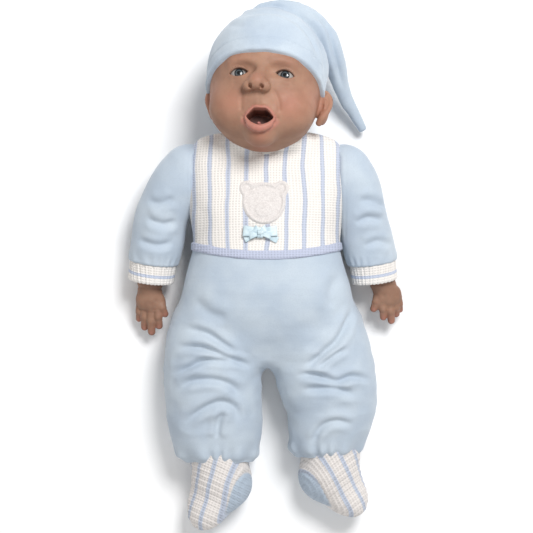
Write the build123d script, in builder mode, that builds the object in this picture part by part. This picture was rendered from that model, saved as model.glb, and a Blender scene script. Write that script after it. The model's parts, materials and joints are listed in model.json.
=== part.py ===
"""An interactive baby doll, lying on its back.

The doll has a stuffed cloth body in a knitted sleepsuit, a hollow vinyl head under a night
cap, and vinyl forearms and lower legs.  Its voice box sits in a pouch in the back, and a
press pad under the bear patch on the bib sets it off.

Millimetres.  +Z is up and is the doll's front, +Y runs from the feet to the head, and +X is
the doll's own left.  The origin is on the floor under the middle of the back.
"""

import os

from build123d import *

# ---- cloth and clearances ----
fabric = 1.8  # thickness of the knitted sleepsuit
cloth_gap = 0.5  # air between a garment and what it covers
joint_gap = 0.5  # air between soft pieces that move past each other
fit = 0.06  # radial clearance of a pin that turns in a hole
vinyl = 2.5  # wall of the hollow head

# ---- torso: y, half width, bottom, top and corner radius of each cross-section ----
torso_sections = [
    (114, 60, 8, 66, 26),
    (104, 71, 0, 74, 32),
    (88, 73, -2, 78, 34),
    (55, 73, -2, 84, 36),
    (15, 74, -2, 90, 38),
    (-20, 82, -2, 92, 40),
    (-45, 84, -2, 88, 40),
    (-60, 80, 2, 80, 36),
]
bib_bottom = 17  # the striped bib runs from here to the neck
trim_bottom = 8  # the plain band under the bib
bib_edge = 40  # height where the bib meets the back of the suit

# ---- neck ----
neck_pivot = Vector(0, 112, 56)
head_tilt = 15  # the chin is up by this angle, in degrees
head_yaw = -5  # the face looks a little to the doll's right
head_roll = -3
cup_radius = 21
ball_radius = 17
stem_radius = 8
head_hollow_radius = 22  # round hollow under the head that clears the cup
nod_travel = 12
# distance from the neck's axis and level of what the chin sweeps, seen from the pivot
chin_sweep = [
    (0, -8), (10, -11.5), (20, -13.8), (28, -14), (36, -13.8), (46, -11.6), (60, -5), (72, 8),
]

# ---- head, measured along its own right, up and front ----
head_centre = Vector(0, 176, 67)
# radius and level of the head's round outline, from the chin to the crown
head_outline = [
    (3, -72), (18, -69.4), (32, -62.3), (43, -50.5), (50, -33), (53.6, -12), (55, 6), (50.5, 33),
    (33, 56), (3, 65),
]
head_front = 2  # the outline's own axis is this far in front of the head's centre
ear_centre, ear_radius, ear_reach = (53, -26, -4), 6, 17
eye_x, eye_up, eye_front, eye_radius = 21.5, -11.8, 37.5, 10
mouth_up, mouth_width, mouth_height = -53, 24, 15
mouth_back = 27  # the mouth cup's back, in front of the head's centre
cap_fabric = 2.4
brim_angle = 23.5  # slope of the cap's brim from the head's own level
brim_up = -15.7  # where the brim's plane crosses the head's upright axis

# ---- arms ----
shoulder_x = 73.5  # plane where the arm meets the torso
shoulder_y, shoulder_z = 88, 45
cuff_length = 11
shoulder_pin_radius = 4
shoulder_disc_radius = 18

# ---- legs ----
hip_y, hip_z = -72, 38
hip_barrel = 37.5  # radius of the round top of each thigh
crotch_half = 9  # half width of the web between the thighs
crotch_radius = 29.5
hip_outer = 94
hip_pin_radius = 5
hip_disc_radius = 20
knee_y = -130  # cloth thigh ends and vinyl shin begins
ankle_y = -188
foot_radius, foot_reach = 18, 35

# ---- voice box ----
case_x, case_y0, case_y1 = 33, -6, 82
case_back_z, case_split_z, case_front_z = 5, 20, 31
case_wall = 2
battery_radius, battery_length, battery_pitch = 7.1, 50.5, 15.2
speaker_radius = 20
speaker_y = 28
board_y = 68

# ---- snaps that close the back of the suit ----
snap_x, snap_radius = 40, 3.6
snap_rows = (-8, 22, 52, 82)

# ---- press pad on the chest ----
pad_y = 60
pad_low, pad_high = 80, 86.3  # bottom and top of the bear patch, over the pad's middle
pad_slope = 9.4  # the patch lies along the slope of the chest, in degrees
pad_travel = 2.5
sensor_radius = 14
sensor_bottom, sensor_top = 58, 73
plunger_radius = 9

doll_sides = {"left": 1, "right": -1}

os.makedirs("parts", exist_ok=True)


# ---------------------------------------------------------------- shared helpers
def across_body(y, z):
    """Sketch plane across the body at y, with its centre at height z."""
    return Plane(origin=(0, y, z), x_dir=(1, 0, 0), z_dir=(0, -1, 0))


def spindle(place, radius, reach):
    """A long round body about the plane's Z axis, rounded at both ends."""
    with BuildPart() as body:
        with BuildSketch(Plane(origin=place.origin, x_dir=place.x_dir, z_dir=-place.y_dir)):
            Ellipse(radius, reach)
            with Locations((-radius, 0)):
                Rectangle(2 * radius, 4 * reach, mode=Mode.SUBTRACT)
        revolve(axis=Axis(place.origin, place.z_dir))
    return body.part


def capsule(start, end, radius_start, radius_end):
    """Cone with rounded ends between two points."""
    start, end = Vector(*start), Vector(*end)
    axis = end - start
    side_view = Plane(origin=start, x_dir=axis.cross(Vector(0.1, 0, 1)), z_dir=axis)
    side_view = Plane(origin=start, x_dir=side_view.x_dir, z_dir=-side_view.y_dir)
    widest = 2 * max(radius_start, radius_end)
    with BuildPart() as body:
        with BuildSketch(side_view):
            Circle(radius_start)
            with Locations((0, axis.length)):
                Circle(radius_end)
            make_hull()
            with Locations((-widest / 2, axis.length / 2)):
                Rectangle(widest, axis.length + 2 * widest, mode=Mode.SUBTRACT)
        revolve(axis=Axis(start, axis))
    return body.part


def along_x(x, y, z):
    """Location of a cylinder whose axis runs along X."""
    return Location((x, y, z), (0, 90, 0))


def write(name, builder):
    builder.part.label = name
    export_step(builder.part, f"parts/{name}.step")


neck_plane = Plane(
    origin=neck_pivot, x_dir=(1, 0, 0), z_dir=Vector(0, 1, 0).rotate(Axis.X, -head_tilt)
)


def neck_side_view(nod, drop):
    """Plane whose Y is the neck's axis after a nod, moved down that axis by drop."""
    frame = neck_plane.rotated((nod, 0, 0))
    return Plane(
        origin=frame.origin - frame.z_dir * drop, x_dir=frame.x_dir, z_dir=-frame.y_dir
    )


# ---------------------------------------------------------------- torso forms
def torso_form(inset):
    """The torso's closed form, shrunk by inset on every side."""
    hip_reach = 130
    with BuildPart() as form:
        for y, half_width, low, high, corner in torso_sections:
            end_y = y - inset if y == torso_sections[0][0] else y
            with BuildSketch(across_body(end_y, (low + high) / 2)):
                RectangleRounded(
                    2 * (half_width - inset), high - low - 2 * inset, corner - inset
                )
        loft()
        split(bisect_by=Plane.XY.offset(inset), keep=Keep.TOP)
        # the thighs turn in a round recess, and swing up in front of it
        recess = hip_barrel + joint_gap + inset
        recess_start = crotch_half - inset
        for side in doll_sides.values():
            middle = side * (recess_start + hip_reach) / 2
            with Locations(along_x(middle, hip_y, hip_z)):
                Cylinder(recess, hip_reach - recess_start, mode=Mode.SUBTRACT)
            with Locations((middle, hip_y + recess / 2, hip_z + hip_reach / 2)):
                Box(hip_reach - recess_start, recess, hip_reach, mode=Mode.SUBTRACT)
            with Locations((middle, hip_y + 15, 0)):
                Box(hip_reach - recess_start, 30, hip_z, mode=Mode.SUBTRACT)
        with Locations(along_x(0, hip_y, hip_z)):
            Cylinder(crotch_radius - inset, 2 * (crotch_half - inset))
        # dished collar that clears the chin however the head is turned
        for nod in (0, nod_travel):
            side_view = neck_side_view(nod, inset)
            with BuildSketch(side_view):
                with BuildLine():
                    Polyline(*chin_sweep, (chin_sweep[-1][0], 60), (0, 60), close=True)
                make_face()
            revolve(axis=Axis(side_view.origin, side_view.y_dir), mode=Mode.SUBTRACT)
    return form.part


def pad_plane(height):
    """Plane along the slope of the chest, at a height over the pad's middle."""
    return Plane(
        origin=(0, pad_y, height), x_dir=(1, 0, 0),
        z_dir=Vector(0, 0, 1).rotate(Axis.X, -pad_slope),
    )


def bear_outline(grow):
    """Round bear face with two ears, in the active sketch."""
    with Locations((0, pad_y)):
        Ellipse(20.5 + grow, 19 + grow)
    with Locations((-15, pad_y + 13), (15, pad_y + 13)):
        Circle(7.5 + grow)


suit_outer = torso_form(0)
suit_inner = torso_form(fabric)

with BuildPart() as suit:
    add(suit_outer)
    add(suit_inner, mode=Mode.SUBTRACT)
    with BuildSketch(Plane.XY.offset(pad_low - 10)):
        bear_outline(0.6)
    extrude(amount=30, mode=Mode.SUBTRACT)
    with Locations(*[(snap_x, y, 0) for y in snap_rows]):
        Cylinder(snap_radius + 0.1, 8, mode=Mode.SUBTRACT)
    # holes for the neck and for the pins of the limbs
    with Locations(neck_plane.location):
        Cylinder(cup_radius + 1.2, 80, mode=Mode.SUBTRACT)
    for side in doll_sides.values():
        with Locations(along_x(side * 73, shoulder_y, shoulder_z)):
            Cylinder(shoulder_pin_radius + 0.4, 12, mode=Mode.SUBTRACT)
    with Locations(along_x(0, hip_y, hip_z)):
        Cylinder(hip_pin_radius + 0.4, 30, mode=Mode.SUBTRACT)

front_depth = 80
with BuildPart() as bib_panel:
    add(suit.part)
    with Locations((0, bib_bottom + front_depth, bib_edge + front_depth)):
        Box(400, 2 * front_depth, 2 * front_depth, mode=Mode.INTERSECT)
write("bib_panel", bib_panel)

with BuildPart() as bib_trim:
    add(suit.part)
    with Locations((0, (bib_bottom + trim_bottom) / 2, bib_edge + front_depth)):
        Box(400, bib_bottom - trim_bottom, 2 * front_depth, mode=Mode.INTERSECT)
write("bib_trim", bib_trim)

with BuildPart() as suit_body:
    add(suit.part)
    with Locations((0, trim_bottom + front_depth, bib_edge + front_depth)):
        Box(400, 2 * front_depth, 2 * front_depth, mode=Mode.SUBTRACT)
write("suit_body", suit_body)

# ---------------------------------------------------------------- neck
neck_flange = (48, 20, 3)
with BuildPart() as neck_socket:
    with Locations(neck_plane.location):
        Sphere(cup_radius)
    with Locations(neck_plane.location * Location((0, 0, -23))):
        Cylinder(9, 10)
    with Locations(neck_plane.location * Location((0, 0, -29))):
        Box(*neck_flange)
    with Locations(neck_plane.location):
        Sphere(ball_radius + 0.3, mode=Mode.SUBTRACT)
    split(bisect_by=neck_plane.offset(4), keep=Keep.BOTTOM)
write("neck_socket", neck_socket)

with BuildPart() as neck_ball:
    with Locations(neck_plane.location):
        Sphere(ball_radius)
    with Locations(neck_plane.location * Location((0, 0, 26))):
        Cylinder(stem_radius, 22)
    with Locations(neck_plane.location * Location((0, 0, 37.2))):
        Cylinder(12, 3)
write("neck_ball", neck_ball)

# ---------------------------------------------------------------- press pad and its sensor
with BuildPart() as bear_patch:
    with BuildSketch(Plane.XY.offset(pad_low - 10)):
        bear_outline(0)
    extrude(amount=30)
    split(bisect_by=pad_plane(pad_low), keep=Keep.TOP)
    split(bisect_by=pad_plane(pad_high), keep=Keep.BOTTOM)
    fillet(bear_patch.faces().sort_by(Axis.Z)[-1].edges(), 1.2)
write("bear_patch", bear_patch)

lip_bottom = 71
flange_top = lip_bottom - 0.3
with BuildPart() as sensor_housing:
    with Locations((0, pad_y, (sensor_bottom + sensor_top) / 2)):
        Cylinder(sensor_radius, sensor_top - sensor_bottom)
    with Locations((0, pad_y, (sensor_bottom + 2 + lip_bottom) / 2)):
        Cylinder(sensor_radius - 2, lip_bottom - sensor_bottom - 2, mode=Mode.SUBTRACT)
    with Locations((0, pad_y, sensor_top)):
        Cylinder(plunger_radius + 0.3, 8, mode=Mode.SUBTRACT)
    with Locations((0, pad_y, sensor_bottom)):
        Cylinder(1.4, 8, mode=Mode.SUBTRACT)
write("sensor_housing", sensor_housing)

flange_bottom = flange_top - 2
with BuildPart() as press_plunger:
    with Locations((0, pad_y, flange_bottom + 10)):
        Cylinder(plunger_radius, 20)
    split(bisect_by=pad_plane(pad_low), keep=Keep.BOTTOM)
    with Locations((0, pad_y, (flange_bottom + flange_top) / 2)):
        Cylinder(plunger_radius + 2, flange_top - flange_bottom)
write("press_plunger", press_plunger)

with BuildPart() as tact_switch:
    switch_height = flange_bottom - pad_travel - 0.2 - (sensor_bottom + 2)
    with Locations((3.6, pad_y, sensor_bottom + 2 + switch_height / 4)):
        Box(4, 6, switch_height / 2)
    with Locations((3.6, pad_y, sensor_bottom + 2 + 3 * switch_height / 4)):
        Cylinder(1.6, switch_height / 2)
write("tact_switch", tact_switch)

spring_wire = 0.5
with BuildPart() as press_spring:
    spring_height = flange_bottom - sensor_bottom - 2 - 2 * spring_wire - 0.2
    spring_start = (0, pad_y, sensor_bottom + 2 + spring_wire + 0.1)
    with BuildLine() as coil:
        Helix(spring_height / 3, spring_height, 8, center=spring_start)
    with BuildSketch(Plane(origin=coil.line @ 0, z_dir=coil.line % 0)):
        Circle(spring_wire)
    sweep()
write("press_spring", press_spring)

# two-core wire, slack in the shaft between the press sensor and the voice box
wire_radius = 1.1
plug_top = 26.6
wire_route = [
    (0, pad_y, sensor_bottom + 2),
    (0, pad_y, sensor_bottom - 5),
    (5, pad_y + 2, sensor_bottom - 11),
    (3, pad_y - 3, sensor_bottom - 18),
    (-2, pad_y, sensor_bottom - 24),
    (-2, pad_y, plug_top),
]

with BuildPart() as sensor_wire:
    with BuildLine() as wire_path:
        FilletPolyline(*wire_route, radius=3.5)
    with BuildSketch(Plane(origin=wire_path.line @ 0, z_dir=wire_path.line % 0)):
        Circle(wire_radius)
    sweep()
write("sensor_wire", sensor_wire)

# ---------------------------------------------------------------- voice box
case_length = case_y1 - case_y0
case_y = (case_y0 + case_y1) / 2
bay_x, bay_y0, bay_y1 = 24.5, 0, 54
screw_places = [
    (x, y) for x in (-case_x + 4, case_x - 4) for y in (case_y0 + 4, case_y1 - 4)
]


def case_block(low, high, shrink):
    """Rounded block with the voice box's outline."""
    with BuildPart() as block:
        with BuildSketch(Plane.XY.offset(low)):
            with Locations((0, case_y)):
                RectangleRounded(2 * (case_x - shrink), case_length - 2 * shrink, 6 - shrink)
        extrude(amount=high - low)
    return block.part


knob_x, knob_y, knob_travel = 18, 72, 4
with BuildPart() as voice_case_back:
    add(case_block(case_back_z, case_split_z, 0))
    add(case_block(case_back_z + case_wall, case_split_z, case_wall), mode=Mode.SUBTRACT)
    # rails that hold the cells, and posts for the case screws and the circuit board
    with Locations((-bay_x - 1, 27, 12), (bay_x + 1, 27, 12)):
        Box(2, 56, 12)
    with Locations(*[(x, y, (case_back_z + case_split_z) / 2) for x, y in screw_places]):
        Cylinder(3.6, case_split_z - case_back_z)
    with Locations((-20, board_y - 6, 8.5), (20, board_y - 6, 8.5)):
        Cylinder(2, 5)
    with Locations((0, 27, case_back_z)):
        Box(2 * bay_x - 4, bay_y1 - bay_y0, 8, mode=Mode.SUBTRACT)
    with Locations((knob_x - knob_travel / 2, knob_y, case_back_z)):
        Box(5 + knob_travel + 0.8, 5.8, 8, mode=Mode.SUBTRACT)
    with Locations(*[(x, y, case_back_z) for x, y in screw_places]):
        CounterBoreHole(1.35, 2.6, 2.5, depth=15)
write("voice_case_back", voice_case_back)

with BuildPart() as voice_case_front:
    add(case_block(case_split_z, case_front_z, 0))
    add(case_block(case_split_z, case_front_z - case_wall, case_wall), mode=Mode.SUBTRACT)
    with Locations(*[(x, y, (case_split_z + case_front_z) / 2) for x, y in screw_places]):
        Cylinder(3.6, case_front_z - case_split_z)
    with Locations(*[(x, y, case_split_z + 3) for x, y in screw_places]):
        Cylinder(1.1, 8, mode=Mode.SUBTRACT)
    # rings of sound holes over the speaker
    for ring_radius, ring_count in ((5, 6), (10, 12), (15, 18)):
        with Locations((0, speaker_y, case_front_z)):
            with PolarLocations(ring_radius, ring_count):
                Cylinder(1.3, 8, mode=Mode.SUBTRACT)
    with Locations((-2, pad_y, case_front_z)):
        Cylinder(wire_radius + 0.2, 8, mode=Mode.SUBTRACT)
write("voice_case_front", voice_case_front)

with BuildPart() as battery_door:
    with Locations((0, 27, case_back_z + 1)):
        Box(2 * bay_x - 4.6, bay_y1 - bay_y0 - 0.6, 2)
    with Locations((0, 5, case_back_z)):
        Cylinder(1.5, 6, mode=Mode.SUBTRACT)
    with GridLocations(0, 5, 1, 4):
        with Locations((0, 36, case_back_z)):
            Box(16, 1.2, 1, mode=Mode.SUBTRACT)
write("battery_door", battery_door)


def screw(radius, length, head_radius, head_height):
    """Cross-head screw with its head at the origin, pointing up."""
    with BuildPart() as made:
        with Locations((0, 0, head_height / 2)):
            Cylinder(head_radius, head_height)
        with Locations((0, 0, head_height + length / 2)):
            Cylinder(radius, length)
        with Locations((0, 0, 0)):
            Box(head_radius * 1.2, 0.6, 1, mode=Mode.SUBTRACT)
            Box(0.6, head_radius * 1.2, 1, mode=Mode.SUBTRACT)
    return made.part


with BuildPart() as case_screws:
    for x, y in screw_places:
        add(screw(1.0, 15, 2.4, 1.6).moved(Location((x, y, case_back_z + 0.8))))
    add(screw(1.4, 0.6, 2.0, 1.0).moved(Location((0, 5, case_back_z - 1.0))))
write("case_screws", case_screws)

with BuildPart() as batteries:
    cell_z = case_back_z + 2.3 + battery_radius
    for column in (-1, 0, 1):
        with Locations(Location((column * battery_pitch, 27, cell_z), (90, 0, 0))):
            Cylinder(battery_radius, battery_length - 1.5)
        nub_y = 27 + (battery_length / 2 - 0.4) * (1 if column == 0 else -1)
        with Locations(Location((column * battery_pitch, nub_y, cell_z), (90, 0, 0))):
            Cylinder(2.6, 1.4)
write("batteries", batteries)

with BuildPart() as battery_contacts:
    for column in (-1, 0, 1):
        for end in (-1, 1):
            contact_y = 27 + end * (battery_length / 2 + 0.8)
            with Locations((column * battery_pitch, contact_y, cell_z)):
                Box(9, 0.5, 9)
write("battery_contacts", battery_contacts)

with BuildPart() as circuit_board:
    with Locations((0, board_y, 11.8)):
        Box(48, 19, 1.6)
    for x, width in ((-12, 10), (6, 7), (16, 4)):
        with Locations((x, board_y + 4, 13.2)):
            Box(width, 7, 2)
    with Locations((-2, pad_y + 2, (12 + plug_top) / 2)):
        Box(7, 5, plug_top - 12)
write("circuit_board", circuit_board)

with BuildPart() as speaker:
    with BuildSketch(Plane(origin=(0, speaker_y, 0), x_dir=(1, 0, 0), z_dir=(0, -1, 0))):
        with BuildLine():
            Polyline(
                (0, 22.6), (8, 22.6), (8, 24.6), (12, 25), (18, 27.6), (speaker_radius, 27.6),
                (speaker_radius, 28.8), (17, 28.8), (15, 28.2), (7, 26.2), (0, 27.6), (0, 22.6),
            )
        make_face()
    revolve(axis=Axis((0, speaker_y, 0), (0, 0, 1)))
write("speaker", speaker)

with BuildPart() as power_knob:
    with Locations((knob_x, knob_y, case_back_z + 0.8)):
        Box(5, 5, 3.6)
    with Locations((knob_x, knob_y, case_back_z + 3)):
        Box(8, 8, 1.2)
write("power_knob", power_knob)

# ---------------------------------------------------------------- cloth torso and what is sewn in it
pouch_gap = 0.6
bag_centre, bag_size = (0, 8, 49), (84, 56, 26)
with BuildPart() as pad_hollow:
    with BuildSketch(Plane.XY.offset(pad_low - 20)):
        bear_outline(0.8)
    extrude(amount=50)
    split(bisect_by=pad_plane(pad_low - pad_travel - 0.5), keep=Keep.TOP)
pad_pocket = pad_hollow.part

with BuildPart() as cloth_torso:
    add(torso_form(fabric + cloth_gap))
    # pouch for the voice box, open at the back, and a shaft up to the press pad
    with Locations((0, case_y, (case_front_z + pouch_gap) / 2)):
        Box(2 * (case_x + pouch_gap), case_length + 2 * pouch_gap, case_front_z + pouch_gap,
            mode=Mode.SUBTRACT)
    with Locations((0, pad_y, sensor_bottom + 20)):
        Cylinder(sensor_radius + 0.4, 40, mode=Mode.SUBTRACT)
    with Locations((0, pad_y, sensor_bottom - 15)):
        Cylinder(9, 32, mode=Mode.SUBTRACT)
    add(pad_pocket, mode=Mode.SUBTRACT)
    with Locations(bag_centre):
        Box(bag_size[0] + 1, bag_size[1] + 1, bag_size[2] + 1, mode=Mode.SUBTRACT)
    # seat of the neck socket
    with Locations(neck_plane.location * Location((0, 0, -23))):
        Cylinder(9.3, 12, mode=Mode.SUBTRACT)
    with Locations(neck_plane.location * Location((0, 0, -29))):
        Box(*[size + 0.6 for size in neck_flange], mode=Mode.SUBTRACT)
    with Locations(neck_plane.location):
        Sphere(cup_radius + 0.3, mode=Mode.SUBTRACT)
    # seats of the shoulder pins and the hip pin
    for side in doll_sides.values():
        with Locations(along_x(side * 68, shoulder_y, shoulder_z)):
            Cylinder(shoulder_pin_radius + 0.3, 22, mode=Mode.SUBTRACT)
        with Locations(along_x(side * 58.5, shoulder_y, shoulder_z)):
            Cylinder(12.3, 3.6, mode=Mode.SUBTRACT)
    with Locations(along_x(0, hip_y, hip_z)):
        Cylinder(hip_pin_radius + 0.3, 30, mode=Mode.SUBTRACT)
write("cloth_torso", cloth_torso)

with BuildPart() as pellet_bag:
    with Locations(bag_centre):
        Box(*bag_size)
    fillet(pellet_bag.edges(), 8)
write("pellet_bag", pellet_bag)

with BuildPart() as pouch_flap:
    with BuildSketch(Plane.XY.offset(fabric + cloth_gap + 0.1)):
        with Locations((0, case_y)):
            RectangleRounded(2 * case_x, case_length, 5)
    extrude(amount=1.2)
write("pouch_flap", pouch_flap)

snap_thickness = 1.3
with BuildPart() as suit_snaps:
    with Locations(*[(snap_x, y, 0.3 + snap_thickness / 2) for y in snap_rows]):
        Cylinder(snap_radius, snap_thickness)
write("suit_snaps", suit_snaps)

# folded ribbon with a rolled rose in its middle, tacked under the bear
bow_plane = Plane(
    origin=(-6, 32.5, 87.6), x_dir=(1, 0, 0), z_dir=Vector(0, 0, 1).rotate(Axis.X, -8.5)
)
with BuildPart() as ribbon_bow:
    with Locations(bow_plane.location * Location((0, 0, 1), (0, 0, 12))):
        Box(38, 8, 1.2)
    with Locations(bow_plane.location * Location((0, 0, 1), (0, 0, -28))):
        Box(30, 8, 1.2)
    with Locations(bow_plane.location * Location((0, 0, 3.4))):
        Cylinder(7.5, 6)
write("ribbon_bow", ribbon_bow)

# ---------------------------------------------------------------- pins of the limbs
with BuildPart() as shoulder_pins:
    for side in doll_sides.values():
        with Locations(along_x(side * 70.5, shoulder_y, shoulder_z)):
            Cylinder(shoulder_pin_radius, 27)
        with Locations(along_x(side * 58.5, shoulder_y, shoulder_z)):
            Cylinder(12, 3)
        with Locations(along_x(side * 82.5, shoulder_y, shoulder_z)):
            Cylinder(9, 3)
write("shoulder_pins", shoulder_pins)

with BuildPart() as hip_pin:
    with Locations(along_x(0, hip_y, hip_z)):
        Cylinder(hip_pin_radius, 46)
    for side in doll_sides.values():
        with Locations(along_x(side * 21.5, hip_y, hip_z)):
            Cylinder(9, 3)
write("hip_pin", hip_pin)

# ---------------------------------------------------------------- head
level_head = Plane(
    origin=head_centre, x_dir=(1, 0, 0), z_dir=Vector(0, 0, 1).rotate(Axis.X, -head_tilt)
)
head_plane = level_head.rotated((0, head_yaw, head_roll))
mouth_plane = Plane(
    origin=head_plane.from_local_coords(Vector(0, mouth_up, 0)),
    x_dir=head_plane.x_dir, z_dir=head_plane.z_dir,
)


head_middle = (head_outline[0][1] + head_outline[-1][1]) / 2
# the seam of the round head stands clear of the ears, eyes and mouth
outline_plane = head_plane.offset(head_front).rotated((0, -30, 0))


def head_form(grow):
    """The head's closed form, grown by an amount on every side."""
    wider = 1 + grow / max(radius for radius, _ in head_outline)
    taller = 1 + grow / (head_outline[-1][1] - head_middle)
    points = [
        (radius * wider, head_middle + (level - head_middle) * taller)
        for radius, level in head_outline
    ]
    with BuildPart() as form:
        with BuildSketch(outline_plane):
            with BuildLine():
                Spline(*points, tangents=((1, 0), (-1, 0)))
                Polyline(points[-1], (0, points[-1][1]), (0, points[0][1]), points[0])
            make_face()
        revolve(axis=Axis(outline_plane.origin, outline_plane.y_dir))
    return form.part


def ear_form(side, grow):
    centre = head_plane.from_local_coords(Vector(side * ear_centre[0], *ear_centre[1:]))
    upright = Plane(origin=centre, x_dir=head_plane.x_dir, z_dir=head_plane.y_dir)
    return spindle(upright, ear_radius + grow, ear_reach + grow)


eye_places = [(side * eye_x, eye_up, eye_front) for side in doll_sides.values()]
ears = []
for side in doll_sides.values():
    with BuildPart() as ear:
        add(ear_form(side, 0))
        add(head_form(-vinyl / 2), mode=Mode.SUBTRACT)
    ears.append(ear.part)

with BuildPart() as hollow:
    add(head_form(-vinyl))
    # the roof over the neck's cup stays solid
    with Locations(neck_plane.location):
        Sphere(head_hollow_radius + 3, mode=Mode.SUBTRACT)

with BuildPart() as head_shell:
    add(head_form(0))
    add(hollow.part, mode=Mode.SUBTRACT)
    with BuildSketch(mouth_plane.offset(mouth_back - 4)):
        Ellipse(mouth_width / 2 + 1.8, mouth_height / 2 + 1.8)
    extrude(amount=40, mode=Mode.SUBTRACT)
    for x, y, _ in eye_places:
        with BuildSketch(head_plane.offset(40)):
            with Locations((x, y)):
                Ellipse(8.3, 5)
        extrude(amount=30, mode=Mode.SUBTRACT)
    with Locations(neck_plane.location):
        Sphere(head_hollow_radius, mode=Mode.SUBTRACT)
    with Locations(neck_plane.location * Location((0, 0, 24))):
        Cylinder(stem_radius + 0.6, 10, mode=Mode.SUBTRACT)
    for place in eye_places:
        with Locations(head_plane.location * Location(place)):
            Sphere(eye_radius + 0.3, mode=Mode.SUBTRACT)
    add(ears)
write("head_shell", head_shell)

for (side_name, side), place in zip(doll_sides.items(), eye_places):
    with BuildPart() as eye:
        with Locations(head_plane.location * Location(place)):
            Sphere(eye_radius)
    write(f"{side_name}_eye", eye)

with BuildPart() as mouth_cup:
    with BuildSketch(mouth_plane.offset(mouth_back)):
        Ellipse(mouth_width / 2 + 1.6, mouth_height / 2 + 1.6)
    extrude(amount=30)
    with BuildSketch(mouth_plane.offset(mouth_back + 2)):
        Ellipse(mouth_width / 2, mouth_height / 2)
    extrude(amount=30, mode=Mode.SUBTRACT)
    add(head_form(-0.8), mode=Mode.INTERSECT)
write("mouth_cup", mouth_cup)

with BuildPart() as tongue:
    add(spindle(mouth_plane.offset(mouth_back + 9), 2.4, 6.8).moved(
        Location(-mouth_plane.y_dir * 4.7)))
write("tongue", tongue)

with BuildPart() as neck_bush:
    with Locations(neck_plane.location * Location((0, 0, 29.5))):
        Cylinder(12, 9)
        Cylinder(stem_radius + fit, 12, mode=Mode.SUBTRACT)
    with Locations(neck_plane.location):
        Sphere(head_hollow_radius + 3.05, mode=Mode.SUBTRACT)
write("neck_bush", neck_bush)

brim_plane = Plane(
    origin=head_plane.from_local_coords(Vector(0, brim_up, 0)),
    x_dir=head_plane.x_dir, z_dir=head_plane.y_dir,
).rotated((brim_angle, 0, 0))
with BuildPart() as cap:
    add(head_form(0.6 + cap_fabric))
    add(head_form(0.6), mode=Mode.SUBTRACT)
    split(bisect_by=brim_plane, keep=Keep.TOP)
    for side in doll_sides.values():
        add(ear_form(side, 0.4), mode=Mode.SUBTRACT)
write("cap", cap)

tail_sections = [
    ((18, 238, 60), 14, (1, 0, -0.3)), ((42, 234, 52), 13, (0.9, -0.35, -0.35)),
    ((62, 218, 40), 11.5, (0.65, -0.65, -0.4)), ((76, 196, 29), 9.5, (0.4, -0.85, -0.35)),
    ((86, 167, 19), 7, (0.25, -0.95, -0.28)), ((92, 136, 11), 4, (0.15, -0.97, -0.2)),
]


def round_limb(sections, shrink, past_ends=0):
    """Body through circles, each given as its centre, radius and direction."""
    planes = [Plane(origin=centre, x_dir=(0, 0, 1), z_dir=way) for centre, _, way in sections]
    radii = [radius - shrink for _, radius, _ in sections]
    if past_ends:
        planes = [planes[0].offset(-past_ends), *planes, planes[-1].offset(past_ends)]
        radii = [radii[0], *radii, radii[-1]]
    with BuildPart() as limb:
        for plane, radius in zip(planes, radii):
            with BuildSketch(plane):
                Circle(radius)
        loft(ruled=True)
    return limb.part


with BuildPart() as cap_tail:
    add(round_limb(tail_sections, 0))
    add(head_form(0.65 + cap_fabric), mode=Mode.SUBTRACT)
write("cap_tail", cap_tail)

# ---------------------------------------------------------------- arms
# centre, radius and direction of each cross-section of a sleeve, for an arm on the +X side
arm_sections = {
    "left": [
        ((shoulder_x, shoulder_y, shoulder_z), 31, (1, 0, 0)),
        ((85, 84.5, 43.5), 29.5, (0.97, -0.24, -0.06)),
        ((93, 74, 41), 27, (0.75, -0.65, -0.1)),
        ((99, 52, 35), 24, (0.2, -0.96, -0.18)),
        ((103.5, 22, 28), 23, (0.12, -0.98, -0.15)),
        ((106, -2, 24.5), 22.5, (0.07, -0.99, -0.12)),
        ((107, -13, 23.3), 22, (0.07, -0.99, -0.1)),
    ],
    "right": [
        ((shoulder_x, shoulder_y, shoulder_z), 31, (1, 0, 0)),
        ((85, 84.5, 43.5), 29.5, (0.97, -0.24, -0.06)),
        ((93.5, 74, 41), 27, (0.75, -0.65, -0.1)),
        ((101, 52, 35), 24, (0.22, -0.96, -0.18)),
        ((107, 22, 28), 23, (0.14, -0.98, -0.15)),
        ((110, -2, 24.5), 22.5, (0.07, -0.99, -0.12)),
        ((111, -13, 23.3), 22, (0.07, -0.99, -0.1)),
    ],
}
# the forearm's start, its direction, and each finger's root, tip and radius
forearm_start = {"left": (104, 26, 28), "right": (107.5, 26, 28)}
forearm_ends = {"left": (112, -14, 23), "right": (113.5, -16, 23)}
palm_centres = {"left": (118, -29, 21.5), "right": (113.4, -33, 21)}
fingers = {
    "left": [
        ((109, -27, 22), (104, -41, 23), 3.9), ((113, -33, 23), (113.5, -49, 22), 3.9),
        ((119, -34, 22), (121.5, -52.5, 19), 4.1), ((125, -33, 21), (126.5, -46, 16), 4),
        ((128, -30, 19), (130.3, -42, 14), 3.5),
    ],
    "right": [
        ((104, -34, 22), (98.5, -46, 23), 3.9), ((106, -39, 23), (104.5, -57.5, 20), 4.1),
        ((112, -41, 22), (112, -63.5, 17), 4.3), ((118, -39, 20), (119, -59, 14), 4.1),
        ((123, -36, 18), (124.5, -51, 13), 3.6),
    ],
}


def arm_body(side, sections, shrink, past_ends=0):
    """An arm's round body, built on the -X side and mirrored where it is the other arm."""
    placed = [
        ((-x, y, z), radius, (-across, along, up))
        for (x, y, z), radius, (across, along, up) in sections
    ]
    body = round_limb(placed, shrink, past_ends)
    return mirror(body, about=Plane.YZ, mode=Mode.PRIVATE) if side > 0 else body


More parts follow.
